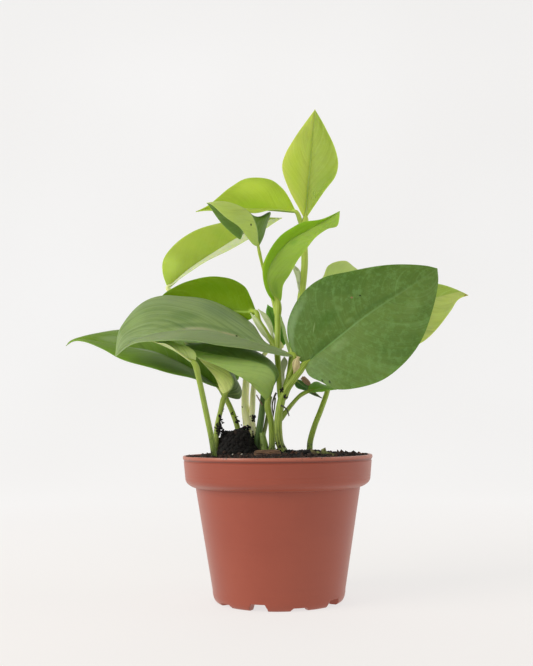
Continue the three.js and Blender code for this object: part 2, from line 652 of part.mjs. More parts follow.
const plant = new THREE.Group();
for (const stem of stems) plant.add(meshOf(stem.name, stem.colour, 'stem', stemGeometry(stem)));
for (const leaf of leaves) plant.add(meshOf(leaf.name, leaf.colour, 'leaf', bladeGeometry(leaf)));
for (const sheath of drySheaths) {
  let body = solid(bladeGeometry(sheath));
  for (const stem of stems) body = body.subtract(stemSolid(stem, gap));
  plant.add(meshOf(sheath.name, colours.drySheath, 'drySheath', geometryOf(body)));
}

const pottedPothos = new THREE.Group();
pottedPothos.add(meshOf('pot', colours.pot, 'pot', potGeometry()));
pottedPothos.add(meshOf('soil', colours.soil, 'soil', soilGeometry()));
pottedPothos.add(meshOf('bark_chip', colours.bark, 'bark', barkGeometry(0)));
pottedPothos.add(plant);

export default pottedPothos;
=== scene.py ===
# Potted pothos: leaves, stalks, soil and nursery pot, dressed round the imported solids.
# +Z up, -Y to the front. The pieces are worked out in millimetres, and mm turns them into metres.
from math import radians
from types import SimpleNamespace

import bpy
import numpy as np
from bpy.types import NodeSocket
from mathutils import Matrix


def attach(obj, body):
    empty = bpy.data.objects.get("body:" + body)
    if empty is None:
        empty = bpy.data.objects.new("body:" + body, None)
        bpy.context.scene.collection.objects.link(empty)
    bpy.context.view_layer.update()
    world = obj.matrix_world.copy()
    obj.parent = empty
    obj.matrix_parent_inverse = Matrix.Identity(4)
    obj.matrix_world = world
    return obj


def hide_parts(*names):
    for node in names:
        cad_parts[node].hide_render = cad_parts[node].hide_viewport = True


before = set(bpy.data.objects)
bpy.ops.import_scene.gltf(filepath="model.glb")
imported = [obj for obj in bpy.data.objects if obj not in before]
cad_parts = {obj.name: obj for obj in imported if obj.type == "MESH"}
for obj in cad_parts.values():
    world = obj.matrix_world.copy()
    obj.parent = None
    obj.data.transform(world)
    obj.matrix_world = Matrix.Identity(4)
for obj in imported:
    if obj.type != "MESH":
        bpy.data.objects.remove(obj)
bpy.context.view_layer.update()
mm = 0.001
chance = np.random.default_rng(11)
print("frame loaded with", len(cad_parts), "nodes")


camera = {"place": (-0.0003, -0.5934, 0.1097), "lens": 50, "pitch": 5.6, "turn": 0.575, "roll": -0.57}
lights = {
    "key": {"place": (-1.02, -0.58, 0.72), "size": 0.9, "power": 13.6, "colour": (1, 0.985, 0.96)},
    "fill": {"place": (1.1, -0.1, 0.5), "size": 0.9, "power": 3.6, "colour": (0.98, 0.99, 1)},
    "front": {"place": (0.1, -1.2, 0.9), "size": 1.0, "power": 2.5, "colour": (1, 1, 1)},
}
studio = {"world": 0.27, "glow": 0.7, "wallDistance": 0.7, "bend": 1.0, "wallHeight": 2.6, "halfWidth": 3,
          "frontEdge": -3, "aim": (0, 0, 0.15), "grey": (0.27, 0.26, 0.25, 1),
          "paleGrey": (0.33, 0.33, 0.33, 1), "floorTone": (0.19, 0.16, 0.135, 1)}


def addObject(name, data):
    thing = bpy.data.objects.new(name, data)
    bpy.context.scene.collection.objects.link(thing)
    return thing


def addCamera():
    data = bpy.data.cameras.new("camera")
    data.lens = camera["lens"]
    eye = addObject("camera", data)
    eye.matrix_world = (Matrix.Translation(camera["place"])
                        @ Matrix.Rotation(radians(camera["turn"]), 4, "Z")
                        @ Matrix.Rotation(radians(90 + camera["pitch"]), 4, "X")
                        @ Matrix.Rotation(radians(camera["roll"]), 4, "Z"))
    bpy.context.scene.camera = eye


def addLights():
    for name, light in lights.items():
        data = bpy.data.lights.new(name, "AREA")
        data.size = light["size"]
        data.energy = light["power"]
        data.color = light["colour"]
        lamp = addObject(name, data)
        aim = np.array(studio["aim"]) - light["place"]
        lamp.location = light["place"]
        turn = np.arctan2(aim[1], aim[0]) - np.pi / 2
        tilt = np.pi / 2 + np.arctan2(aim[2], np.hypot(aim[0], aim[1]))
        lamp.rotation_euler = (tilt, 0, turn)
    world = bpy.data.worlds.new("studio")
    world.use_nodes = True
    background = world.node_tree.nodes["Background"]
    background.inputs["Color"].default_value = (1, 1, 1, 1)
    background.inputs["Strength"].default_value = studio["world"]
    bpy.context.scene.world = world
    bpy.context.scene.view_settings.view_transform = "Standard"


addCamera()
addLights()
print("camera and lights placed")


def unit(vectors):
    return vectors / np.maximum(np.linalg.norm(vectors, axis=-1, keepdims=True), 1e-9)


def smoothStep(x, start, end):
    t = np.clip((x - start) / (end - start), 0, 1)
    return t * t * (3 - 2 * t)


def circle(count):
    return np.linspace(0, 2 * np.pi, count, endpoint=False)


def together(*parts):
    # arrays brought to one shape, and stacked along a new last axis
    return np.stack(np.broadcast_arrays(*parts), -1)


def alongCurve(points, shares, steps=30):
    # Centripetal spline through the points: the knots lie apart by the root of the distance between
    # points, each span is the cubic that keeps its end slopes, and the line is then read at equal
    # shares of its length.
    p = np.asarray(points, float)
    p = np.vstack([2 * p[0] - p[1], p, 2 * p[-1] - p[-2]])
    a, b, c, d = p[:-3], p[1:-2], p[2:-1], p[3:]
    knots = np.sqrt(np.linalg.norm(np.diff(p, axis=0), axis=1))[:, None]
    k0, k1, k2 = knots[:-2], knots[1:-1], knots[2:]
    slopeIn = ((b - a) / k0 - (c - a) / (k0 + k1) + (c - b) / k1) * k1
    slopeOut = ((c - b) / k1 - (d - b) / (k1 + k2) + (d - c) / k2) * k1
    t = np.linspace(0, 1, steps, endpoint=False)[None, :, None]
    b, c, slopeIn, slopeOut = (x[:, None, :] for x in (b, c, slopeIn, slopeOut))
    line = ((2 * t**3 - 3 * t**2 + 1) * b + (t**3 - 2 * t**2 + t) * slopeIn
            + (3 * t**2 - 2 * t**3) * c + (t**3 - t**2) * slopeOut)
    line = np.vstack([line.reshape(-1, 3), p[-2]])
    length = np.concatenate([[0], np.cumsum(np.linalg.norm(np.diff(line, axis=0), axis=1))])
    at = np.asarray(shares) * length[-1]
    return np.stack([np.interp(at, length, line[:, k]) for k in range(3)], axis=1)


def gridFaces(rows, columns, closed=False, start=0):
    # quads between neighbouring rows; closed joins the last column to the first
    i = np.arange(rows - 1)[:, None] * columns
    j = np.arange(columns if closed else columns - 1)[None, :]
    k = (j + 1) % columns
    return (np.stack([i + j, i + k, i + columns + k, i + columns + j], -1).reshape(-1, 4) + start).tolist()


def newMesh(name, corners, faces, material):
    mesh = bpy.data.meshes.new(name)
    mesh.from_pydata(corners.tolist(), [], faces)
    mesh.polygons.foreach_set("use_smooth", np.ones(len(mesh.polygons), bool))
    mesh.materials.append(material)
    return mesh


def newPiece(name, vertices, faces, material, replaces=(), values=None, uv=None, sharp=60):
    # vertices in millimetres; values are numbers kept per vertex for the material to read
    mesh = newMesh(name, vertices * mm, faces, material)
    for key, numbers in (values or {}).items():
        layer = mesh.attributes.new(key, "FLOAT", "POINT")
        layer.data.foreach_set("value", np.asarray(numbers, np.float32).ravel())
    if uv is not None:
        corners = np.empty(len(mesh.loops), np.int32)
        mesh.loops.foreach_get("vertex_index", corners)
        flat = np.asarray(uv, np.float32)[corners].ravel()
        mesh.uv_layers.new(name="surface").data.foreach_set("uv", flat)
    mesh.update()
    mesh.set_sharp_from_angle(angle=radians(sharp))
    piece = addObject(name, mesh)
    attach(piece, "root")
    if replaces:
        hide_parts(*replaces)
    return piece


def tone(code):
    # screen colour such as "8fae4c" to the linear colour that a shader takes
    c = np.array([int(code[i:i + 2], 16) for i in (0, 2, 4)]) / 255
    return (*np.where(c <= 0.04045, c / 12.92, ((c + 0.055) / 1.055) ** 2.4), 1)


def newMaterial(name, roughness, **settings):
    material = bpy.data.materials.new(name)
    material.use_nodes = True
    shader = material.node_tree.nodes["Principled BSDF"]
    shader.inputs["Roughness"].default_value = roughness
    for key, value in settings.items():
        shader.inputs[key.replace("_", " ")].default_value = value
    return material, material.node_tree


def addNode(kind, inputs, **settings):
    # Node in the tree of the sockets that feed it. An input is a socket, a value or a screen colour.
    tree = next(value.id_data for value in inputs.values() if isinstance(value, NodeSocket))
    node = tree.nodes.new("ShaderNode" + kind)
    for key, value in settings.items():
        setattr(node, key, value)
    for key, value in inputs.items():
        if isinstance(value, NodeSocket):
            tree.links.new(value, node.inputs[key])
        else:
            node.inputs[key].default_value = tone(value) if isinstance(value, str) else value
    return node.outputs


def maths(operation, a, b=0.0):
    return addNode("Math", {0: a, 1: b}, operation=operation)[0]


def times(a, b):
    return maths("MULTIPLY", a, b)


def fade(value, start, end, low=0.0, high=1.0):
    inputs = {"Value": value, "From Min": start, "From Max": end, "To Min": low, "To Max": high}
    return addNode("MapRange", inputs, interpolation_type="SMOOTHSTEP")[0]


def blend(share, a, b):
    return addNode("Mix", {"Factor": share, "A": a, "B": b}, data_type="RGBA")["Result"]


def coats(colour, *layers):
    # tones laid over the colour one after another, each by its own share
    for share, paint in layers:
        colour = blend(share, colour, paint)
    return colour


def place(tree, scale=(1, 1, 1), source="Object"):
    coordinates = tree.nodes.new("ShaderNodeTexCoord").outputs[source]
    return addNode("Mapping", {"Vector": coordinates, "Scale": scale})[0]


def split(where):
    return addNode("SeparateXYZ", {0: where})


def noise(where, scale, detail=3, rough=0.55):
    return addNode("TexNoise", {"Vector": where, "Scale": scale, "Detail": detail, "Roughness": rough})["Fac"]


def spots(where, scale, size):
    # 1 inside scattered round spots, 0 elsewhere
    distance = addNode("TexVoronoi", {"Vector": where, "Scale": scale})["Distance"]
    return fade(distance, size, size * 0.6)


def oval(where, at, half, turn, soft):
    # 1 inside a turned oval round a place on the surface's own map, 0 outside it
    inputs = {"Vector": where, "Location": (*at, 0), "Rotation": (0, 0, radians(turn)), "Scale": (*half, 1)}
    centred = addNode("Mapping", inputs, vector_type="TEXTURE")[0]
    away = addNode("VectorMath", {0: centred}, operation="LENGTH")["Value"]
    return fade(away, 1, 1 - soft)


def kept(tree, name):
    node = tree.nodes.new("ShaderNodeAttribute")
    node.attribute_name = name
    return node.outputs["Fac"]


def finish(material, colour, roughness=None, height=None, depth=0.0002):
    shader = material.node_tree.nodes["Principled BSDF"]
    links = material.node_tree.links
    links.new(colour, shader.inputs["Base Color"])
    if roughness is not None:
        links.new(roughness, shader.inputs["Roughness"])
    if height is not None:
        links.new(addNode("Bump", {"Height": height, "Distance": depth})[0], shader.inputs["Normal"])
    return material


def addBackdrop():
    # floor that runs back and bends up into a wall: a straight run, a quarter circle, a straight rise
    turn = np.linspace(0, np.pi / 2, 24)
    reach, bend = studio["wallDistance"], studio["bend"]
    y = np.concatenate([[studio["frontEdge"]], reach + bend * np.sin(turn), [reach + bend]])
    z = np.concatenate([[0], bend * (1 - np.cos(turn)), [studio["wallHeight"]]])
    x = np.array([-1, 1]) * studio["halfWidth"]
    corners = np.stack([np.tile(x, len(y)), np.repeat(y, 2), np.repeat(z, 2)], 1)
    material, tree = newMaterial("backdrop paper", 0.9, Emission_Color=(1, 0.995, 0.99, 1),
                                 Emission_Strength=studio["glow"])
    here = place(tree)
    grain = times(noise(here, 900), noise(here, 1.6, 1))
    paper = blend(fade(grain, 0.1, 0.45), studio["grey"], studio["paleGrey"])
    finish(material, blend(fade(split(here)[1], 1.3, -0.2), paper, studio["floorTone"]))
    backdrop = addObject("backdrop", newMesh("backdrop", corners, gridFaces(len(y), 2), material))


addBackdrop()


# The spine runs from the base to the tip, and so do both margins. Left and right are as seen from
# the upper side, looking at the tip. Arch is how far each half swells, as a share of its width. Marks
# are soft ovals on the leaf's own map, from 0 to 1 across it and from base to tip: place, half size,
# turn in degrees, tone and strength.
leaves = [
    # leaf_top: the lighter left half is partly its own tone and partly painted light shining through it; the
    # darker right half and the dark patch on it are painted shade
    {"name": "leaf_top", "slot": "leaf_lime", "arch": 0.06, "lean": 0.34, "veinShow": 0.1, "glow": 0.8,
     "top": "c6d060", "rightHalfToneAndPaintedLight": "9ba943", "rib": "cbdc88",
     "spine": [(20, 11, 244), (21, 11, 256), (23, 10, 275), (25, 12, 294), (28, 18, 322)],
     "left": [(15, 8, 253), (10, 4, 262), (5, 2, 277), (7, 3, 286), (12, 6, 296), (19, 12, 308)],
     "right": [(27, 8, 254), (33, 5, 262), (40, 3, 271), (42, 3, 279), (41, 4, 288), (34, 13, 309)],
     "marks": [(0.42, 0.62, 0.08, 0.18, 0, "c6d866", 0.5), (0.86, 0.3, 0.3, 0.2, 0, "8aa33c", 0.45),
               (0.2, 0.4, 0.18, 0.3, 0, "b4cc2e", 0.35), (0.9, 0.958, 0.06, 0.009, 0, "2c3a12", 0.9)]},
    {"name": "leaf_upper_left", "slot": "leaf_lime", "arch": 0.05, "lean": 0.34, "veinShow": 0.05,
     "ribShow": 0.3, "glow": 0.8, "top": "a6bc37", "rightHalfToneAndPaintedLight": "aabe3a", "rib": "bcd468",
     "spine": [(14, 8, 249), (-3, 10, 251), (-21, 10, 252), (-39, 7, 252), (-52, 4, 249)],
     "left": [(8, 2, 248.5), (-3, -2, 248), (-14, -6, 245.5), (-32, 0, 248), (-44, 2, 249)],
     "right": [(10, 14, 259), (5, 22, 269), (-2, 28, 276), (-12, 30, 278), (-21, 29, 277), (-30, 22, 270),
               (-38, 12, 260), (-45, 6, 253)],
     "marks": [(0.82, 0.48, 0.2, 0.2, 0, "c4d552", 0.5), (0.55, 0.45, 0.1, 0.3, 0, "94b51e", 0.5)]},
    # leaf_hooded: the dark right half is painted shade on the half that is folded back
    {"name": "leaf_hooded", "slot": "leaf_grey", "veins": 13, "veinShow": 0.16, "top": "bcce65",
     "rightHalfToneAndPaintedLight": "618223", "rib": "a4bb78", "dark": "4a6a22",
     "spine": [(-11, 0, 224), (-12, -6, 236), (-17, -12, 245), (-31, -18, 250), (-43, -20, 249)],
     "left": [(-15, -8, 225), (-21, -18, 232), (-29, -26, 237), (-40, -24, 247)],
     "right": [(-8, 4, 231), (-6, 8, 238), (-3, 12, 250), (-11.5, 13, 245), (-20.5, 9, 237),
               (-21.8, 3.5, 233), (-23, 2.2, 229.8), (-24.5, 0.8, 230.4), (-34, -10, 237.5)],
     "marks": [(0.3, 0.35, 0.035, 0.016, 0, "12160a", 1), (0.88, 0.66, 0.1, 0.2, 0, "4f7314", 0.4)]},
    # leaf_back_left: the pale right half is the paler underside together with painted light shining through
    # it, and the first mark, a lime spot, is painted light shining through
    {"name": "leaf_back_left", "slot": "leaf_lime", "arch": 0.05, "lean": 0.34, "veinShow": 0.05,
     "ribShow": 0.2, "glow": 0.9, "top": "9dac41", "rightHalfToneAndPaintedLight": "c9cfa6", "rib": "b4cc62",
     "spine": [(-75, 42, 204), (-60, 46, 218), (-42, 50, 231), (-25, 52, 242), (-4, 50, 253), (5, 48, 254)],
     "left": [(-79, 48, 215), (-80, 54, 224), (-78, 58, 231), (-71, 62, 240), (-61, 64, 247), (-51, 66, 252),
              (-36, 66, 256), (-17, 58, 257)],
     "right": [(-70, 38, 207), (-59, 34, 214), (-38, 34, 226), (-18, 38, 237), (-2, 45, 249)],
     "marks": [(0.15, 0.17, 0.34, 0.13, 0, "bfd060", 0.45), (0.3, 0.56, 0.3, 0.05, 0, "8ba53a", 0.35),
               (0.36, 0.42, 0.3, 0.05, 0, "90a93c", 0.25)]},
    {"name": "leaf_middle_left", "slot": "leaf_green", "arch": 0.08, "veins": 14, "lean": 0.32,
     "veinShow": 0.06, "glow": 0.6, "shine": 0.05, "top": "6a860d", "rightHalfToneAndPaintedLight": "68850d", "rib": "9dbb52",
     "dark": "4c7206",
     "spine": [(-13, 4, 182), (-28, 14, 184), (-46, 20, 188), (-63, 19, 190), (-80, 13, 188)],
     "left": [(-16, 6, 178), (-24, 14, 177), (-42, 18, 175), (-60, 15, 177), (-72, 12, 182)],
     "right": [(-14, 10, 186), (-17, 18, 194), (-21, 25, 202), (-29, 31, 208), (-38, 34, 210), (-49, 34, 210),
               (-60, 30, 207), (-68, 24, 202), (-75, 17, 196)],
     "marks": [(0.6, 0.05, 0.3, 0.06, 0, "b5c95a", 0.7), (0.8, 0.5, 0.16, 0.3, 0, "557c06", 0.35)]},
    # leaf_broad_left: the two pale pinkish marks along the midrib are a painted sheen, and the long dark mark
    # beside the midrib is painted shade in the crease
    {"name": "leaf_broad_left", "slot": "leaf_grey", "arch": 0.05, "veins": 13, "lean": 0.55,
     "veinShow": 0.42, "mottle": 0.12, "shine": 0.3, "top": "82935a", "rightHalfToneAndPaintedLight": "879b5c", "rib": "93a878",
     "dark": "4f6f38",
     "spine": [(11, -18, 152), (0.5, -19, 155.5), (-14.5, -20, 160.5), (-29.5, -22, 164.5), (-44, -24, 167.5),
               (-59, -25, 167.5), (-72.5, -25, 166), (-81, -24, 164), (-91, -23, 160), (-100, -22, 152)],
     "left": [(7, -22, 151), (-7, -30, 153), (-21.5, -38, 155.5), (-37, -46, 156.8), (-48, -50, 158.5),
              (-59, -54, 159), (-81, -44, 159), (-91, -32, 157)],
     "right": [(3, -10, 156), (-7, -4, 161), (-14, 4, 173), (-21, 8, 179), (-31, 10, 185), (-41, 12, 190),
               (-51, 12, 193), (-62, 10, 194), (-73, 6, 194), (-82, 2, 191), (-89.5, -5, 184.5),
               (-96, -12, 175), (-99, -18, 167)],
     "marks": [(0.51, 0.53, 0.03, 0.13, 0, "ada78a", 0.6), (0.515, 0.36, 0.02, 0.08, 0, "b0a084", 0.6),
               (0.83, 0.8, 0.14, 0.1, 0, "8fa864", 0.4), (0.66, 0.58, 0.1, 0.1, 0, "517232", 0.45),
               (0.555, 0.5, 0.035, 0.4, 0, "4d6b3a", 0.4), (0.8, 0.42, 0.18, 0.12, 0, "5f7a4c", 0.4),
               (0.515, 0.32, 0.012, 0.007, 0, "14140c", 1)]},
    # leaf_long_left: the pale first mark along the middle is a painted sheen streak
    {"name": "leaf_long_left", "slot": "leaf_dark", "arch": 0.05, "lean": 0.5, "veinShow": 0.26,
     "shine": 0.25, "top": "789828", "rib": "8ba46c", "dark": "46621a",
     "spine": [(-37, 8, 133), (-56, 6, 146), (-75, 4, 155), (-97, 1, 160), (-113, -1, 163), (-127, -2, 165),
               (-133, 0, 164), (-136, 1, 161)],
     "left": [(-44, -2, 135), (-54, -11, 139), (-72, -18, 143), (-97, -14, 151), (-111, -9, 158),
              (-123, -6, 163), (-131, -1, 163.5)],
     "right": [(-25, 20, 140), (-35, 32, 156), (-52, 38, 166), (-80, 36, 173), (-105, 20, 173),
               (-117, 8, 170), (-125, 1, 167), (-131, 1, 165)],
     "marks": [(0.49, 0.48, 0.035, 0.15, 0, "c3c8ba", 0.7), (0.12, 0.33, 0.14, 0.16, 0, "4f6a1c", 0.45),
               (0.3, 0.12, 0.4, 0.13, 0, "3c5614", 0.6), (0.61, 0.71, 0.14, 0.13, 0, "a3b189", 0.4)]},
    # leaf_front: the dark right half is painted shade on the far half that lies back in the shade
    {"name": "leaf_front", "slot": "leaf_deep", "arch": 0.05, "veins": 14, "lean": 0.4, "veinShow": 0.24,
     "mottle": 0.22, "shine": 0.3, "top": "afc76c", "rightHalfToneAndPaintedLight": "698436", "rib": "86ac62", "dark": "4a6a2c",
     "spine": [(-6, -12, 123), (-2.5, -14, 131.5), (-1, -18, 138.5), (-5, -22, 144.5), (-12.5, -25, 147.5),
               (-24.5, -27, 150), (-39, -27, 152.5), (-51, -25, 155.5), (-60, -20, 158.5)],
     "left": [(-11.8, -20, 129.6), (-17, -27, 135), (-22, -31, 138), (-27, -34, 140.5), (-34.5, -37, 144.5),
              (-41.5, -38, 147.5), (-48, -37, 150), (-54, -31, 154)],
     "right": [(-1.5, -14, 134), (1.5, -14, 140.5), (-2, -12, 147), (-11.5, -10, 155), (-21, -9, 160),
               (-34.5, -10, 162), (-46.5, -12, 161)],
     "marks": [(0.28, 0.71, 0.1, 0.05, 0, "7aa62a", 0.45), (0.64, 0.74, 0.14, 0.1, 0, "74835f", 0.5)]},
    {"name": "leaf_low_front", "slot": "leaf_fresh", "veins": 12, "lean": 0.4, "veinShow": 0.2,
     "top": "dae296", "rightHalfToneAndPaintedLight": "c2d284", "rib": "b3c68a", "edge": "b9cb8e", "edgeShow": 0.4,
     "spine": [(-49, -45, 146), (-59, -46, 153), (-67, -43, 157), (-74, -36, 160), (-81, -28, 162)],
     "left": [(-53, -49, 148), (-59, -53, 153), (-66, -52, 157), (-74, -43, 159)],
     "right": [(-48, -44, 148.5), (-48.5, -43.5, 152.5), (-53.5, -42, 156), (-61, -38, 159),
               (-67.5, -34, 160.5)]},
    # leaf_cup: the dark right half is painted shade on the lobe that lies back in the shade
    {"name": "leaf_cup", "slot": "leaf_green", "arch": 0.05, "veins": 12, "lean": 0.4, "veinShow": 0.36,
     "top": "e9f699", "rightHalfToneAndPaintedLight": "64744a", "rib": "b0c67c", "edge": "c8d596", "edgeShow": 0.6,
     "spine": [(-33, -5, 128), (-28.5, -8, 132.5), (-27.5, -7, 137), (-30.5, -4, 143), (-38.5, -2, 151.5),
               (-49, -2, 158), (-59, -4, 162)],
     "left": [(-35.5, -6, 130.5), (-39, -8, 139), (-45, -10, 146.5), (-49.5, -12, 151.5),
              (-54.5, -12, 156.5)],
     "right": [(-30, -2, 126.5), (-24, 3, 126), (-23, 6, 131), (-25.5, 7, 137), (-29, 8, 145.5),
               (-35.5, 8, 155), (-42, 6, 160.5)]},
    # leaf_arched: the saturated lime left half and the bright mark at its left margin are painted light
    # shining through the leaf
    {"name": "leaf_arched", "slot": "leaf_fresh", "arch": 0.03, "veins": 14, "lean": 0.5, "veinShow": 0.1,
     "glow": 0.7, "top": "8ab11a", "rightHalfToneAndPaintedLight": "9fb94c", "rib": "9cbc5c",
     "spine": [(1, 3, 188), (-3.5, -3, 196), (-5, -8, 203.5), (-2, -9, 212.5), (9, -9, 226), (22, -8, 233.5),
               (33.5, -6.5, 240.5), (42, -5, 246)],
     "left": [(-3, 0, 190), (-7, -6, 197), (-8, -12, 209), (-4, -14, 219), (3, -14, 228), (11, -13, 234),
              (18, -11, 238), (30, -9, 240)],
     "right": [(3, 4, 189), (5, 0, 199), (9, -5, 205), (14, -9, 213), (21, -10, 222), (26, -10, 228),
               (34, -8, 234), (40, -6, 236), (41.5, -6, 241)],
     "marks": [(0.7, 0.13, 0.16, 0.1, 0, "6f9030", 0.4), (0.62, 0.55, 0.12, 0.05, 0, "6a9838", 0.4),
               (0.05, 0.25, 0.08, 0.2, 0, "b0c62c", 0.5)]},
    # leaf_big_right: the pale mark along the left margin is a painted sheen
    {"name": "leaf_big_right", "slot": "leaf_deep", "veins": 17, "lean": 0.27, "veinShow": 0.2,
     "fineShow": 0.4, "cloudShow": 0.5, "mottle": 0.25, "shine": 0.3, "top": "5a742a", "rightHalfToneAndPaintedLight": "627b33",
     "rib": "7fa860", "dark": "3f6418", "edge": "3f5c22",
     "spine": [(17, -18, 146), (34, -20, 159), (56, -20, 176), (79, -17, 191), (103, -10, 207)],
     "left": [(10, -18, 154), (7, -16, 171), (15, -14, 189), (29, -12, 201), (48, -10, 206), (77, -9, 210),
              (96, -9, 209)],
     "right": [(20, -22, 139), (27, -26, 135), (37, -30, 130), (61, -32, 134), (76, -31, 144), (88, -27, 158),
               (98, -19, 180), (103, -12, 199)],
     "marks": [(0.31, 0.31, 0.08, 0.16, 0, "41660f", 0.5), (0.45, 0.16, 0.1, 0.12, 0, "3f6314", 0.5),
               (0.05, 0.2, 0.06, 0.2, 0, "86a06c", 0.5), (0.45, 0.38, 0.035, 0.04, 0, "84a35c", 0.45),
               (0.31, 0.4, 0.05, 0.025, 0, "7b9a54", 0.4), (0.58, 0.25, 0.07, 0.09, 0, "92a86c", 0.25),
               (0.72, 0.72, 0.1, 0.09, 0, "86a25c", 0.2), (0.46, 0.55, 0.03, 0.4, 0, "3f6420", 0.35),
               (0.3, 0.49, 0.012, 0.007, 0, "95684e", 0.8), (0.32, 0.53, 0.01, 0.006, 0, "1e2c10", 0.9),
               (0.265, 0.24, 0.009, 0.05, 38, "93a86c", 0.45), (0.97, 0.13, 0.02, 0.007, 0, "1c2a10", 0.9),
               (0.94, 0.17, 0.02, 0.006, 0, "1c2a10", 0.9)]},
    {"name": "leaf_right_tip", "slot": "leaf_lime", "veinShow": 0.22, "glow": 0.8, "top": "a0b051",
     "rightHalfToneAndPaintedLight": "bec273", "rib": "bccf7c", "dark": "6f8a2c",
     "spine": [(46, 25, 171), (68, 28, 182), (92, 32, 190), (109, 34, 194), (127, 36, 198), (132, 37, 196)],
     "left": [(52, 32, 184), (69, 38, 196), (91, 42, 206), (111, 41, 205), (122, 38, 201)],
     "right": [(54, 17, 165), (73, 14, 153), (96, 18, 162), (107, 24, 171), (118, 30, 184), (125, 35, 193)],
     "marks": [(0.9, 0.985, 0.5, 0.02, 0, "8a7434", 0.8), (0.85, 0.72, 0.12, 0.1, 0, "c3cd74", 0.4)]},
    {"name": "leaf_behind_right", "slot": "leaf_fresh", "rows": 50, "veins": 10, "top": "c7d583",
     "rib": "b3c98a",
     "spine": [(23, 18, 193), (34, 20, 198), (47, 24, 203), (68, 28, 204)],
     "left": [(27, 20, 201), (32, 24, 208), (36, 28, 216), (48, 31, 220), (54, 31, 215)],
     "right": [(31, 14, 191), (47, 14, 192), (58, 20, 198)]},
    {"name": "leaf_small_right", "slot": "leaf_fresh", "rows": 40, "veins": 8, "top": "79a437",
     "rib": "9cbd60",
     "spine": [(20, -4, 130), (25, -6, 131), (31, -6, 132), (38, -4, 131)],
     "left": [(21, 0, 134), (24, 2, 136), (32, 1, 134)],
     "right": [(24, -8, 129), (31, -8.5, 130)]},
    {"name": "leaf_small_back", "slot": "leaf_green", "rows": 40, "veins": 9, "top": "6c9a3c",
     "rightHalfToneAndPaintedLight": "5f8c34", "rib": "93b366",
     "spine": [(3.5, 13, 160), (1.5, 13.5, 167), (-1.5, 14, 177), (-5.5, 13, 188)],
     "left": [(0, 13, 165), (-3.5, 12.5, 175), (-6.5, 12, 182.5)],
     "right": [(5.8, 12.5, 161.5), (6.5, 12, 165), (5, 12, 173.5), (2.5, 12.5, 182)]},
    {"name": "leaf_dark_back", "slot": "leaf_dark", "rows": 40, "veins": 8, "top": "476b3a", "rib": "7c9c62",
     "spine": [(11, 14, 139), (16.5, 15, 135), (22.5, 16, 131), (29.5, 17, 126)],
     "left": [(15.5, 16, 138), (21, 16, 134.5), (25.5, 17, 130)],
     "right": [(12.5, 13, 133.5), (18, 14, 131), (24, 16, 128)]},
]
# What a leaf has where it names nothing else. Its right half then has the tone of the top, and its edge
# that of the rib.
plainLeaf = {"arch": 0.04, "rows": 96, "halfColumns": 20, "veins": 15, "lean": 0.3, "veinShow": 0.12,
             "fineShow": 1, "ribShow": 0.6, "edgeShow": 0.3, "cloudShow": 0.14, "mottle": 0.06,
             "glow": 0.5, "shine": 0.15, "dark": "3a5a1e", "marks": ()}
blade = {"thick": 0.55, "edgeThick": 0.3, "edgeWidth": 3, "baseHalfWidth": 1.3, "tipHalfWidth": 0.25,
         "endShare": 0.12, "crowding": 1.4, "grooveDepth": 0.3, "grooveWidth": 0.7, "ribHeight": 0.7,
         "ribWidth": 1.1, "ribThinning": 0.85, "puff": 0.03, "wave": 0.4, "sheathThick": 0.26, "curl": 0.3}


